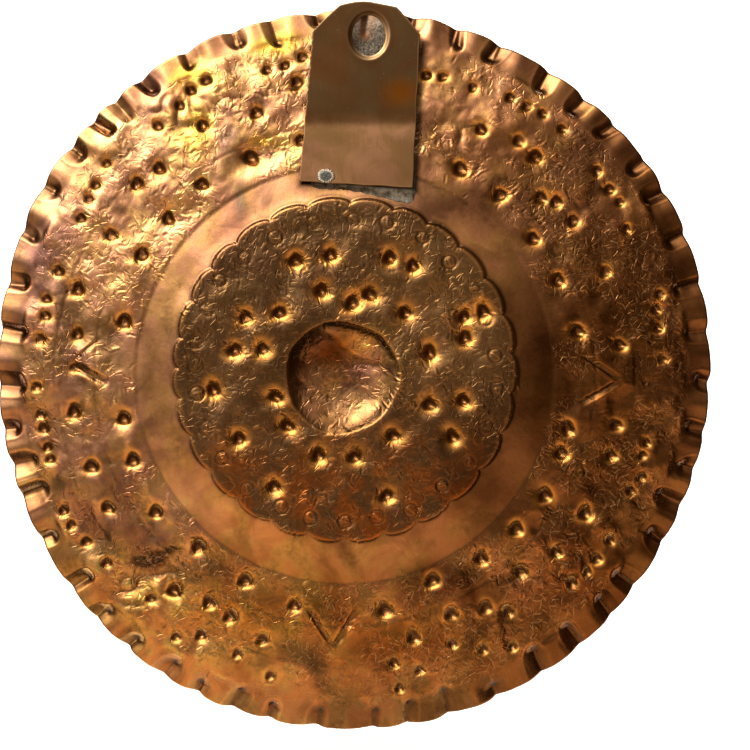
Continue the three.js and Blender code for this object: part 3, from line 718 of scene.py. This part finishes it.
def add_plate_values(piece, x, z, on_back):
    """What the copper's material reads at each vertex."""
    hole_x, hole_z = hole_centre()
    behind_hole = bell(np.hypot(x - hole_x, z - hole_z) / TINNED_RADIUS, 6) * on_back
    # Painted shadow of the tab, darkening the back's colour
    darkening = 1 - 0.9 * on_back * painted_tab_shadow(x, z)
    # Above zero in hollows and below zero on raised places, which the material lightens as painted
    # highlights
    ridges = (RELIEF - blurred(RELIEF, 1.6)) * (1 - 0.45 * ZONE["rim"])
    add_values(piece, "zones", *(sample(ZONE[key], x, z) for key in ("rosette", "dish")))
    add_values(piece, "finish", sample(TEXTURE, x, z), behind_hole, sample(GLOW, x, z))
    add_values(piece, "stains_and_painted_light", *(sample(layer, x, z) * darkening for layer in stains_and_painted_light()))
    # The marks: painted shade in the pits and in the crimps' pockets, and the ridges' map
    add_values(piece, "marks", *(sample(field, x, z) for field in (PAINTED_PIT_SHADE, PAINTED_POCKET_SHADE, ridges)))


def painted_tab_shadow(x, z):
    """The painted shadow of the tab on the plate along its right and lower edges, from 0 to 1."""
    corners = tab_outline() + [1.2, -0.5]
    outside = np.full(x.shape, -1e9)
    middle = corners.mean(axis=0)
    for a, b in zip(corners, np.roll(corners, -1, axis=0)):
        if np.hypot(*(b - a)) < 0.1:
            continue
        normal = np.array([b[1] - a[1], a[0] - b[0]]) / np.hypot(*(b - a))
        normal *= np.sign(normal @ (a - middle))
        outside = np.maximum(outside, (x - a[0]) * normal[0] + (z - a[1]) * normal[1])
    return bell(np.clip(outside, 0, None) / 1.9)


def blurred(field, radius):
    """A map averaged over a square of about the given radius, twice for softness."""
    reach = int(radius / MAP_STEP)
    size = 2 * reach + 1
    for _ in range(4):
        total = np.cumsum(np.pad(field, ((reach + 1, reach), (0, 0)), "edge"), axis=0)
        field = ((total[size:] - total[:-size]) / size).T
    return field


# ---- The hanging tab ----

TAB_THICKNESS = 1.2
TAB_BEND_HEIGHT = 103.0
TAB_BEND_RADIUS = 30.0
TAB_LEAN = math.radians(6)
HOLE_RADII = (6.9, 8.4)
COLLAR_RADII = (9.0, 10.4)
COLLAR_DEPTH = 0.85


def tab_outline():
    """The CAD tab's outline as a closed line of corners (x, z)."""
    corners = cad_mesh("hanger_tab")[0][:, [0, 2]]
    order = convex_hull_2d([tuple(corner) for corner in corners])
    return corners[order]


def hole_centre():
    """The middle of the tab's hole as (x, z), from the opening in the record."""
    low, high = np.array(frame["record"]["physics"]["openings"][0]["box_m"]) / MM
    return ((low + high) / 2 - ORIGIN)[[0, 2]]


def resampled(line, count):
    """A closed line of corners as evenly spaced points."""
    closed = np.concatenate([line, line[:1]])
    along = np.concatenate([[0], np.cumsum(np.hypot(*np.diff(closed, axis=0).T))])
    place = np.arange(count) * along[-1] / count
    return np.stack([np.interp(place, along, closed[:, k]) for k in (0, 1)], axis=1)


def tab_level(z):
    """Level of the middle of the tab's sheet: flat foot, gentle bend, leaning leg."""
    up = z - TAB_BEND_HEIGHT
    arc = TAB_BEND_RADIUS * math.sin(TAB_LEAN)
    bent = TAB_BEND_RADIUS - np.sqrt(TAB_BEND_RADIUS**2 - np.clip(up, 0, arc) ** 2)
    dip = 0.2 * bell((up - 1.5) / 3.4)
    return dip - TAB_THICKNESS / 2 - bent - np.clip(up - arc, 0, None) * math.tan(TAB_LEAN)


def sheared(outline):
    """The outline as the shears left it: a ragged left edge and slightly wavy others."""
    rng = np.random.default_rng(71)
    middle = outline.mean(axis=0)
    outwards = outline - middle
    outwards /= np.hypot(*outwards.T)[:, None]
    x, z = outline.T
    ragged = np.interp(x, [-16, -14], [1, 0]) * np.interp(z, [79, 84, 138, 142], [0.5, 1, 1, 0.2])
    bites = np.interp(z, np.linspace(76, 156, 75), rng.uniform(-0.5, 0.1, 75))
    waves = 0.16 * np.sin(z * 0.31 + 1) + 0.12 * np.sin(x * 0.43)
    return outline + outwards * (waves * (1 - ragged) + bites * ragged)[:, None]


def tab_section(steps):
    """The sheet's section from hole to edge and back, as (share, inset, side) of each point."""
    soft = 0.3
    half = TAB_THICKNESS / 2
    turns = np.radians([30, 60])
    corner = [(soft * (1 - math.sin(a)), half - soft * (1 - math.cos(a))) for a in turns]
    share = np.linspace(0, 1, steps) ** 1.15
    loop = [(t, soft * (1 - 2 * t), -half) for t in share]
    loop += [(1, -inset, -side) for inset, side in corner]
    loop += [(1, 0, sign * (half - soft)) for sign in (-1, 1)]
    loop += [(1, -inset, side) for inset, side in reversed(corner)]
    loop += [(t, soft * (1 - 2 * t), half) for t in share[::-1]]
    loop += [(0, inset, side) for inset, side in corner]
    loop += [(0, 0, sign * (half - soft)) for sign in (1, -1)]
    return loop + [(0, inset, -side) for inset, side in reversed(corner)]


def loop_faces(around, section):
    """Faces of a closed band, `around` sections of `section` points each."""
    faces = []
    for i in range(around):
        here, there = i * section, (i + 1) % around * section
        for k in range(section):
            j = (k + 1) % section
            faces.append((here + k, there + k, there + j, here + j))
    return faces


def build_tab(material):
    """A sheared strip with a dished collar round its hole, as sections from the hole to the edge."""
    around = 560
    centre = hole_centre()
    outline = sheared(resampled(tab_outline(), around))
    ray = outline - centre
    reach = np.hypot(*ray.T)
    direction = ray / reach[:, None]
    hole, collar = (
        1 / np.hypot(direction[:, 0] / radii[0], direction[:, 1] / radii[1])
        for radii in (HOLE_RADII, COLLAR_RADII)
    )
    loop = np.array(tab_section(96))
    share, inset, side = loop.T
    away = share * (reach - hole)[:, None] + inset
    across = away / (collar - hole)[:, None]
    x = centre[0] + direction[:, :1] * (hole[:, None] + away)
    z = centre[1] + direction[:, 1:] * (hole[:, None] + away)
    buckle = 0.2 * np.sin(x * 0.11 + 0.6) * np.sin(z * 0.13) + 0.05 * np.sin(z * 0.5 + x * 0.3)
    y = tab_level(z) + side + COLLAR_DEPTH * (1 - smooth(across)) + buckle
    points = np.stack([x, y, z], axis=2).reshape(-1, 3)
    faces = loop_faces(around, len(loop))
    piece = make_piece("hanging_tab", points, faces, material, "hanger_tab")
    # Worn edges, lightened partly as painted highlight
    edge = bell(((reach - hole)[:, None] - away) / 0.5)
    # Painted highlight: the collar's rim is lightened mostly at its lower right, besides being worn
    lower_right = smooth(0.5 + 0.6 * direction @ [0.75, -0.66])[:, None]
    rim = bell(across / 0.9, 4) * (0.2 + 0.8 * lower_right)
    darkening = smooth((across - 0.6) / 0.5) * smooth(2.6 - away / 2)
    add_values(piece, "wear_and_glint", *(layer.reshape(-1) for layer in (edge, rim, darkening)))


# ---- The solder ----


def foot_edge(x):
    """Height of the tab's lower edge at each x."""
    outline = tab_outline()
    low = outline[outline[:, 1] < TAB_BEND_HEIGHT]
    order = np.argsort(low[:, 0])
    return np.interp(x, low[order, 0], low[order, 1])


def grid_faces(columns, rows, start, flip):
    faces = []
    for i in range(columns - 1):
        for j in range(rows - 1):
            a = start + i * rows + j
            face = (a, a + 1, a + rows + 1, a + rows)
            faces.append(face[::-1] if flip else face)
    return faces


def border(columns, rows):
    """Grid indices round the border, in order."""
    left = list(range(rows))
    top = [i * rows + rows - 1 for i in range(1, columns)]
    right = [(columns - 1) * rows + j for j in range(rows - 2, -1, -1)]
    return left + top + right + [i * rows for i in range(columns - 2, 0, -1)]


def build_solder_joint(material):
    """Solder that crept out from under the foot, a thread at the left and a puddle at the right."""
    columns, rows = 190, 60
    lift, lap, under_foot, thickness = 0.1, 0.03, 14, 0.15
    low, high = (np.array(corner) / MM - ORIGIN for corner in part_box("solder_joint"))
    x = np.linspace(low[0], high[0] + 0.4, columns)
    rng = np.random.default_rng(81)
    lumps, ragged = (
        np.interp(x, np.linspace(low[0], high[0] + 1, count), rng.uniform(-most, most, count))
        for count, most in ((26, 0.5), (90, 0.2))
    )
    t = (x - low[0]) / (x[-1] - low[0])
    reach = 2.4 + 4.4 * smooth((t - 0.35) / 0.65) + lumps * (0.4 + 0.6 * t) + ragged
    ends = np.sqrt(np.clip(1 - (np.abs(2 * t - 1)) ** 14, 0.02, 1))
    edge = foot_edge(x)
    top = edge + under_foot * ends
    bottom = edge - reach * ends
    z = top[:, None] + (bottom - top)[:, None] * np.linspace(0, 1, rows)
    wide = np.repeat(x[:, None], rows, axis=1)
    plate = sample(RELIEF, wide, z)
    out = np.clip((edge[:, None] - z) / (reach * ends)[:, None], 0, 1)
    bulge = 0.22 * np.sin(math.pi * out) * (1 + sample(unevenness(82, 4), wide, z))
    back = lift + (plate - lap - lift) * smooth(out) ** 0.8 - bulge
    front = plate + thickness
    count = columns * rows
    levels = (np.minimum(back, front - 0.1), front)
    points = np.concatenate([np.stack([wide, level, z], axis=2).reshape(-1, 3) for level in levels])
    faces = grid_faces(columns, rows, 0, True) + grid_faces(columns, rows, count, False)
    around = border(columns, rows)
    for a, b in zip(around, around[1:] + around[:1]):
        faces.append((a, b, b + count, a + count))
    piece = make_piece("solder_fillet", points, faces, material, "solder_joint")
    # Painted shadow of the tab's lower edge along the top of the fillet
    shade = np.tile(bell(out / 0.2).reshape(-1), 2)
    add_values(piece, "spot", 0 * shade, 0 * shade, shade)


def build_solder_spot(material):
    """A flat ragged blob of solder on the foot, with beads round its rim."""
    rings, around, step, thickness = 22, 120, 3, 0.42
    low, high = (np.array(corner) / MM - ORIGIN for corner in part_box("solder_spot"))
    centre = (low + high) / 2
    radius = (high[0] - low[0]) / 2
    rng = np.random.default_rng(91)
    turn = np.arange(around) * 2 * math.pi / around
    bites = rng.uniform(-0.12, 0.12, around // step)
    rag = np.interp(np.arange(around), np.arange(0, around, step), bites, period=around)
    share = (np.arange(1, rings + 1) / rings)[:, None]
    beads = np.clip(np.sin(turn * 19) + 0.4 * np.sin(turn * 31), 0, 1)
    lumps = 0.08 * np.sin(turn * 5 + share * 9) * np.sin(share * 14)
    height = thickness * np.sqrt(np.clip(1 - share**4, 0, 1)) + lumps * (1 - share)
    height += 0.22 * beads * bell((share - 0.86) / 0.09)
    away = share * radius * (1 + rag * share**2)
    x = centre[0] + away * np.sin(turn) * 1.08
    z = centre[2] + away * np.cos(turn) * 0.9
    surface = tab_level(z) - TAB_THICKNESS / 2
    dome = np.stack([x, surface - height + 0.05, z], axis=2).reshape(-1, 3)
    middle = [centre[0], surface[0, 0] - thickness, centre[2]]
    under = [centre[0], surface[0, 0] + 0.2, centre[2]]
    faces, rim = disc_faces([(0, around)] * rings)
    faces += [(len(dome) + 1, rim + j, rim + (j + 1) % around) for j in range(around)]
    points = np.concatenate([[middle], dome, [under]])
    piece = make_piece("solder_spot_blob", points, faces, material, "solder_spot")
    outer = np.concatenate([[0], np.repeat(smooth((share[:, 0] - 0.55) / 0.3), around), [0]])
    add_values(piece, "spot", outer, 1 - outer, 0 * outer)


# ---- Materials ----


class Shader:
    """The nodes of a material or of the world. add() links an input that is a socket, or sets it."""

    def __init__(self, holder):
        self.holder = holder
        holder.use_nodes = True
        self.tree = holder.node_tree
        self.tree.nodes.clear()

    def add(self, kind, inputs=None, **settings):
        made = self.tree.nodes.new("ShaderNode" + kind)
        for key, value in settings.items():
            setattr(made, key, value)
        for key, value in (inputs or {}).items():
            if isinstance(value, bpy.types.NodeSocket):
                self.tree.links.new(value, made.inputs[key])
            else:
                made.inputs[key].default_value = value
        return made

    def maths(self, operation, a, b=0.0, clamp=False):
        return self.add("Math", {0: a, 1: b}, operation=operation, use_clamp=clamp).outputs[0]

    def plus(self, a, b):
        return self.maths("ADD", a, b)

    def minus(self, a, b, clamp=False):
        return self.maths("SUBTRACT", a, b, clamp)

    def times(self, a, b):
        return self.maths("MULTIPLY", a, b)

    def larger(self, a, b):
        return self.maths("MAXIMUM", a, b)

    def noise(self, place, scale, detail=3.0, roughness=0.55, distortion=0.0):
        inputs = {"Vector": place, "Scale": scale, "Detail": detail,
                  "Roughness": roughness, "Distortion": distortion}
        return self.add("TexNoise", inputs).outputs["Fac"]

    def stretch(self, value, low, high):
        """The value's range low to high as 0 to 1, smoothly."""
        inputs = {"Value": value, "From Min": low, "From Max": high}
        return self.add("MapRange", inputs, interpolation_type="SMOOTHSTEP").outputs["Result"]

    def between(self, value, low, high):
        """The value's range 0 to 1 as low to high."""
        return self.add("MapRange", {"Value": value, "To Min": low, "To Max": high}).outputs[0]

    def mix(self, share, a, b, blend="MIX"):
        inputs = {0: share, 6: a, 7: b}
        return self.add("Mix", inputs, data_type="RGBA", blend_type=blend).outputs[2]

    def over(self, colour, layer, share, most):
        """The colour under a layer that hides it by its share times the most it may hide."""
        return self.mix(self.times(share, most), colour, layer)

    def where(self):
        """The place on the piece, and its x and z, in metres."""
        place = self.add("TexCoord").outputs["Object"]
        x, _, z = self.add("SeparateXYZ", {"Vector": place}).outputs
        return place, x, z

    def split(self, attribute):
        """The three numbers of a colour attribute."""
        colour = self.add("Attribute", attribute_name=attribute).outputs["Color"]
        return list(self.add("SeparateColor", {"Color": colour}).outputs)[:3]

    def strokes(self, x, z, scale, length, width, shift):
        """Short bent strokes, one at random in each cell of a Voronoi pattern, from 0 to 1."""
        place = self.add("CombineXYZ", {0: self.plus(x, shift), 1: z}).outputs[0]
        cells = self.add("TexVoronoi", {"Vector": place, "Scale": scale}, voronoi_dimensions="2D").outputs
        local = self.add("VectorMath", {0: place, 1: cells["Position"]}, operation="SUBTRACT")
        u, v, _ = self.add("SeparateXYZ", {"Vector": local.outputs["Vector"]}).outputs
        turn, bend, strength = self.add("SeparateColor", {"Color": cells["Color"]}).outputs[:3]
        turn = self.times(turn, math.pi)
        cos, sin = self.maths("COSINE", turn), self.maths("SINE", turn)
        along = self.plus(self.times(u, cos), self.times(v, sin))
        across = self.minus(self.times(v, cos), self.times(u, sin))
        curve = self.times(self.times(along, along), self.times(self.minus(bend, 0.5), STROKE_BEND))
        off = self.maths("ABSOLUTE", self.minus(across, curve))
        line = self.minus(1.0, self.stretch(off, 0.25 * width, width))
        ends = self.minus(1.0, self.stretch(self.maths("ABSOLUTE", along), 0.7 * length, length))
        return self.times(self.times(line, ends), strength)

    def finish(self, colour, roughness, height, strength, distance):
        """Ends the tree of a metal and gives the material."""
        bump = self.add("Bump", {"Height": height, "Strength": strength, "Distance": distance})
        inputs = {"Base Color": colour, "Metallic": 1.0, "Roughness": roughness,
                  "Normal": bump.outputs["Normal"]}
        surface = self.add("BsdfPrincipled", inputs)
        self.add("OutputMaterial", {"Surface": surface.outputs["BSDF"]})
        return self.holder


def rgb(red, green, blue):
    return (red, green, blue, 1.0)


STROKE_BEND = 260  # how strongly the bent strokes curve, per metre
FOOT_PINK = rgb(0.45, 0.255, 0.155)
FOOT_GOLD = rgb(0.35, 0.215, 0.105)
LEG_OLIVE = rgb(0.185, 0.13, 0.068)
LEG_BROWN = rgb(0.20, 0.098, 0.042)
LEG_BLOOM = rgb(0.34, 0.12, 0.008)
WORN_AND_GLINT = rgb(0.85, 0.60, 0.36)
SOLDER_GREY = rgb(0.52, 0.55, 0.58)
SOLDER_DARK = rgb(0.10, 0.115, 0.13)
SOLDER_WHITE = rgb(0.80, 0.80, 0.80)
TAB_SHADOW_BLACK = rgb(0.03, 0.022, 0.016)
TIN = rgb(0.46, 0.44, 0.43)
TIN_DARK = rgb(0.14, 0.13, 0.12)
RUST = rgb(0.42, 0.13, 0.03)
PINK = rgb(0.80, 0.44, 0.26)
GOLD = rgb(0.86, 0.52, 0.23)
ORANGE = rgb(0.80, 0.36, 0.125)
OCHRE = rgb(0.82, 0.49, 0.17)
STRUCK = rgb(0.82, 0.42, 0.12)
MAUVE = rgb(0.40, 0.22, 0.16)
BROWN = rgb(0.255, 0.112, 0.036)
OLIVE = rgb(0.165, 0.10, 0.048)
PIT_SHADE_BROWN = rgb(0.21, 0.066, 0.024)
FOLD_SHADE_BROWN = rgb(0.27, 0.11, 0.05)
TARNISH = rgb(0.13, 0.075, 0.04)
HAIRLINE_GLINT = rgb(0.95, 0.62, 0.34)
DULLER = rgb(0.76, 0.71, 0.68)
BRIGHTER = rgb(1.22, 1.20, 1.18)
GLINT = rgb(1.7, 1.6, 1.45)
BLUE_GREY = rgb(0.07, 0.08, 0.10)


def copper_material():
    """Hammered copper: its body colours, then stain, painted shade in the pits and pockets, painted
    highlights on raised places and along hairlines, and the tinned patch.
    """
    s = Shader(bpy.data.materials.new("hammered_copper"))
    place, x, z = s.where()
    rosette, dish, _ = s.split("zones")
    pit, pocket, ridge = s.split("marks")
    texture, tinned, glow = s.split("finish")
    middle = s.noise(place, 70, 4, 0.6)
    fine = s.noise(place, 520, 5, 0.65)
    wander = s.times(s.minus(s.noise(place, 16, 3), 0.5), 0.12)
    low = s.stretch(s.minus(wander, z), 0.02, 0.11)
    right = s.stretch(s.plus(s.minus(x, s.times(z, 0.3)), wander), -0.03, 0.11)
    colour = copper_body(s, place, middle, fine, low, right)
    colour = s.over(colour, OLIVE, s.minus(rosette, dish, clamp=True), 0.88)
    lower = s.stretch(s.times(z, -1.0), 0.01, 0.06)
    rust = s.times(s.times(rosette, s.stretch(middle, 0.36, 0.60)), lower)
    colour = s.over(colour, RUST, rust, 0.8)
    # Real discolouring, with painted highlights and painted shade
    stain_and_light_tint = s.add("Attribute", attribute_name="stains_and_painted_light").outputs["Color"]
    colour = s.mix(1.0, colour, stain_and_light_tint, "MULTIPLY")
    colour = s.over(colour, STRUCK, glow, s.stretch(middle, 0.1, 0.5))
    # Painted shade in the dimples' pits
    colour = s.over(colour, PIT_SHADE_BROWN, pit, 0.92)
    # Painted shade in the crimps' pockets, blue-black at their inner ends low down and at the right
    colour = s.over(colour, FOLD_SHADE_BROWN, pocket, 0.85)
    blue = s.times(s.stretch(pocket, 0.76, 0.98), s.larger(low, right))
    colour = s.over(colour, BLUE_GREY, blue, 0.9)
    # Tarnish in the hollows; the raised places get a painted highlight
    colour = s.over(colour, TARNISH, s.stretch(ridge, 0.02, 0.16), 0.55)
    colour = s.mix(s.stretch(s.times(ridge, -1.0), 0.02, 0.16), colour, GLINT, "MULTIPLY")
    # Painted highlights: light hairlines along chasing strokes, strongest in the textured bands
    hairlines = s.larger(s.strokes(x, z, 270, 0.0021, 0.00028, 11.0),
                         s.strokes(x, z, 380, 0.0015, 0.00024, 15.0))
    hairline_glint_share = s.times(texture, s.minus(0.55, s.times(rosette, 0.42)))
    colour = s.over(colour, HAIRLINE_GLINT, hairlines, hairline_glint_share)
    tin = s.mix(s.stretch(s.noise(place, 1100, 3, 0.6), 0.36, 0.66), TIN_DARK, TIN)
    # Painted reflection: the crimp's pocket behind the hole shows pink in the tinned patch
    colour = s.mix(tinned, colour, s.over(tin, PINK, pocket, 0.9))
    strokes = s.larger(s.strokes(x, z, 230, 0.0021, 0.00048, 3.0),
                       s.strokes(x, z, 300, 0.0017, 0.0004, 7.0))
    height = s.minus(s.times(fine, 0.25), s.times(strokes, texture))
    dull = s.larger(s.times(pit, 0.12), s.times(tinned, 0.34))
    roughness = s.plus(s.between(fine, 0.14, 0.36), dull)
    return s.finish(colour, roughness, height, strength=0.6, distance=0.00016)


def copper_body(s, place, middle, fine, low, right):
    """Pink and gold at the upper left, orange low down, brown at the right that is partly painted shade,
    with a patchy sheen.
    """
    colour = s.mix(s.stretch(middle, 0.42, 0.6), PINK, GOLD)
    cloud = s.stretch(s.noise(place, 38, 4, 0.6, 0.8), 0.50, 0.64)
    colour = s.over(colour, MAUVE, cloud, 0.6)
    colour = s.over(colour, s.mix(s.stretch(middle, 0.45, 0.58), ORANGE, OCHRE), low, 0.75)
    # Partly painted shade: the right side is brown and much darker
    colour = s.over(colour, BROWN, right, 0.85)
    stain = s.times(s.stretch(middle, 0.5, 0.7), s.stretch(fine, 0.35, 0.65))
    colour = s.over(colour, TARNISH, stain, 0.5)
    sheen = s.stretch(s.noise(place, 48, 4, 0.6, 0.5), 0.38, 0.62)
    return s.mix(1.0, colour, s.mix(sheen, DULLER, BRIGHTER), "MULTIPLY")


def tab_material():
    """Old brown copper strip: pinkish foot, olive leg partly painted as shade, faint brushing, an orange
    bloom, and worn edges and collar rim lightened partly as painted highlight.
    """
    s = Shader(bpy.data.materials.new("aged_copper"))
    place, x, z = s.where()
    bend = (TAB_BEND_HEIGHT + ORIGIN[2]) * MM
    brushed = s.add("CombineXYZ", {0: s.times(x, 1500), 2: s.times(z, 90)}).outputs[0]
    streaks = s.noise(brushed, 1.0, 4, 0.6)
    blotch = s.noise(place, 60, 4, 0.6, 0.5)
    speck = s.noise(place, 1500, 2, 0.5)
    wander = s.times(s.minus(blotch, 0.5), 0.012)
    leg = s.stretch(s.plus(z, wander), bend - 0.004, bend + 0.006)
    foot = s.mix(s.stretch(blotch, 0.42, 0.58), FOOT_PINK, FOOT_GOLD)
    upright = s.mix(s.stretch(blotch, 0.3, 0.7), LEG_OLIVE, LEG_BROWN)
    # The leg past the bend is darker, partly painted shade on the tilted leg
    colour = s.mix(leg, foot, upright)
    bloom_x, bloom_z = 0.0195, bend + 0.014
    off = s.add("CombineXYZ", {
        0: s.times(s.minus(x, bloom_x), 90),
        1: s.times(s.minus(z, bloom_z), 110),
    })
    distance = s.add("VectorMath", {0: off.outputs[0]}, operation="LENGTH").outputs["Value"]
    bloom = s.minus(1.0, s.stretch(s.plus(distance, wander), 0.1, 1.0))
    colour = s.over(colour, LEG_BLOOM, bloom, 0.8)
    colour = s.over(colour, TARNISH, s.stretch(streaks, 0.5, 0.75), 0.25)
    colour = s.over(colour, PINK, s.stretch(speck, 0.68, 0.78), 0.5)
    edge, rim, darkening = s.split("wear_and_glint")
    colour = s.over(colour, TARNISH, darkening, 0.3)
    # Worn and painted-highlight lightening on the edges and the collar's rim
    colour = s.over(colour, WORN_AND_GLINT, edge, 0.7)
    colour = s.over(colour, WORN_AND_GLINT, rim, s.stretch(blotch, 0.25, 0.5))
    height = s.plus(s.times(streaks, 0.6), s.times(speck, 0.4))
    return s.finish(colour, s.between(streaks, 0.26, 0.46), height, strength=0.35, distance=0.00012)


def solder_material():
    """Dull blue-grey solder with dark pits and white grains, and the tab's painted shadow along the
    fillet's top.
    """
    s = Shader(bpy.data.materials.new("solder"))
    place, _, _ = s.where()
    blotch = s.noise(place, 260, 4, 0.65)
    grain = s.noise(place, 1900, 3, 0.6)
    colour = s.mix(s.stretch(blotch, 0.35, 0.65), SOLDER_DARK, SOLDER_GREY)
    colour = s.over(colour, SOLDER_WHITE, s.stretch(grain, 0.58, 0.7), 0.7)
    outer, inner, gap = s.split("spot")
    colour = s.over(colour, SOLDER_DARK, inner, 0.8)
    colour = s.over(colour, SOLDER_WHITE, outer, s.stretch(blotch, 0.36, 0.5))
    # Painted shadow under the tab's lower edge
    colour = s.over(colour, TAB_SHADOW_BLACK, gap, 0.95)
    height = s.plus(blotch, s.times(grain, 0.5))
    return s.finish(colour, s.between(blotch, 0.32, 0.6), height, strength=0.5, distance=0.0003)


# ---- Stage, light and camera ----


def paper_material():
    """Pale paper that the camera sees a little lighter than the lamps make it."""
    s = Shader(bpy.data.materials.new("pale_paper"))
    seen = s.times(s.add("LightPath").outputs["Is Camera Ray"], 0.8)
    surface = s.add("BsdfPrincipled", {
        "Base Color": rgb(0.86, 0.855, 0.845), "Roughness": 0.9,
        "Emission Color": rgb(1.0, 0.995, 0.985), "Emission Strength": seen,
    })
    s.add("OutputMaterial", {"Surface": surface.outputs["BSDF"]})
    return s.holder


def build_stage(floor_level):
    """A pale sheet that is the floor and curves up behind the object."""
    front, back, up, half_width, bend = -0.03, 1.1, 2.2, 2.4, 0.5
    steps = 16
    line = [(front, 0.0)]
    for k in range(steps + 1):
        turn = math.pi / 2 * k / steps
        line.append((back - bend + bend * math.sin(turn), bend * (1 - math.cos(turn))))
    line.append((back, up))
    vertices = [(side * half_width, y, z + floor_level) for y, z in line for side in (-1, 1)]
    faces = [(2 * k, 2 * k + 1, 2 * k + 3, 2 * k + 2) for k in range(len(line) - 1)]
    smooth_object("studio_sweep", vertices, faces, paper_material())


def add_lamp(name, place, target, size, power, colour, spread=180):
    lamp = bpy.data.lights.new(name, "AREA")
    lamp.shape = "RECTANGLE"
    lamp.size, lamp.size_y = size
    lamp.energy = power
    lamp.color = colour
    lamp.spread = math.radians(spread)
    holder = add_object(name, lamp)
    holder.location = place
    holder.rotation_euler = (Vector(target) - Vector(place)).to_track_quat("-Z", "Y").to_euler()


ROOM_GLOWS = [
    # direction, the facing at which the glow starts and is full, and its colour
    ((0, 0, 1), -3.0, -2.0, (0.050, 0.027, 0.013)),
    ((-0.08, -1.0, 0.05), 0.90, 1.00, (0.15, 0.115, 0.08)),
    ((-0.34, -0.80, 0.52), 0.83, 1.00, (1.00, 0.85, 0.70)),
    ((-0.40, -0.76, 0.54), 0.94, 0.99, (1.60, 1.34, 0.95)),
    ((-0.32, -0.86, -0.42), 0.92, 1.00, (0.66, 0.42, 0.19)),
    ((-0.60, -0.80, 0.00), 0.84, 1.00, (0.12, 0.10, 0.08)),
    ((0.26, -0.90, -0.40), 0.92, 1.00, (0.72, 0.46, 0.26)),
    ((0.25, -0.90, 0.45), 0.88, 1.00, (0.22, 0.16, 0.11)),
    ((-0.08, -0.69, 0.72), 0.93, 0.99, (0.60, 0.48, 0.30)),
    ((-0.70, -0.68, 0.20), 0.93, 0.99, (0.38, 0.30, 0.19)),
]


def build_world():
    """A dim brown room with the glows of ROOM_GLOWS. The camera sees plain pale paper instead."""
    world = bpy.data.worlds.new("studio")
    bpy.context.scene.world = world
    s = Shader(world)
    place = s.add("TexCoord").outputs["Generated"]
    total = s.add("CombineXYZ").outputs[0]
    for towards, start, end, colour in ROOM_GLOWS:
        facing = s.add("VectorMath", {0: place, 1: Vector(towards).normalized()}, operation="DOT_PRODUCT")
        share = s.stretch(facing.outputs["Value"], start, end)
        layer = s.add("VectorMath", {0: colour, 1: share, 2: total}, operation="MULTIPLY_ADD")
        total = layer.outputs["Vector"]
    seen = s.mix(s.add("LightPath").outputs["Is Camera Ray"], total, rgb(1.0, 0.995, 0.99))
    background = s.add("Background", {"Color": seen})
    s.add("OutputWorld", {"Surface": background.outputs[0]})


def build_lights():
    add_lamp("key_window", (-0.54, -0.86, 0.80), (0, 0, 0), (0.8, 0.8), 5, (1.0, 0.86, 0.62))
    white = (1.0, 1.0, 1.0)
    add_lamp("backdrop_wash", (0.0, 0.45, 1.1), (0, 1.1, 0.1), (1.8, 0.3), 8, white, 110)
    add_lamp("floor_wash", (0.0, 0.32, 0.75), (0, 0.30, -0.15), (1.8, 0.5), 5, white, 90)


def build_camera():
    """Square on to the back. The plate fills the frame, a little left of the middle."""
    distance = 0.56
    frame_width = 0.3173
    aim = Vector(((ORIGIN[0] + 8.2) * MM, 0, (ORIGIN[2] - 1.9) * MM))
    data = bpy.data.cameras.new("camera")
    data.sensor_width = 36
    data.lens = data.sensor_width * distance / frame_width
    camera = add_object("camera", data)
    camera.location = aim - Vector((0, distance, 0))
    camera.rotation_euler = (math.pi / 2, 0, 0)
    bpy.context.scene.camera = camera


# ---- Put together ----

build_plate(copper_material())
build_tab(tab_material())
solder = solder_material()
build_solder_joint(solder)
build_solder_spot(solder)

low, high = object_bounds()
build_stage(low[2] - 0.001)
build_world()
build_lights()
build_camera()
bpy.context.scene.view_settings.view_transform = "Standard"
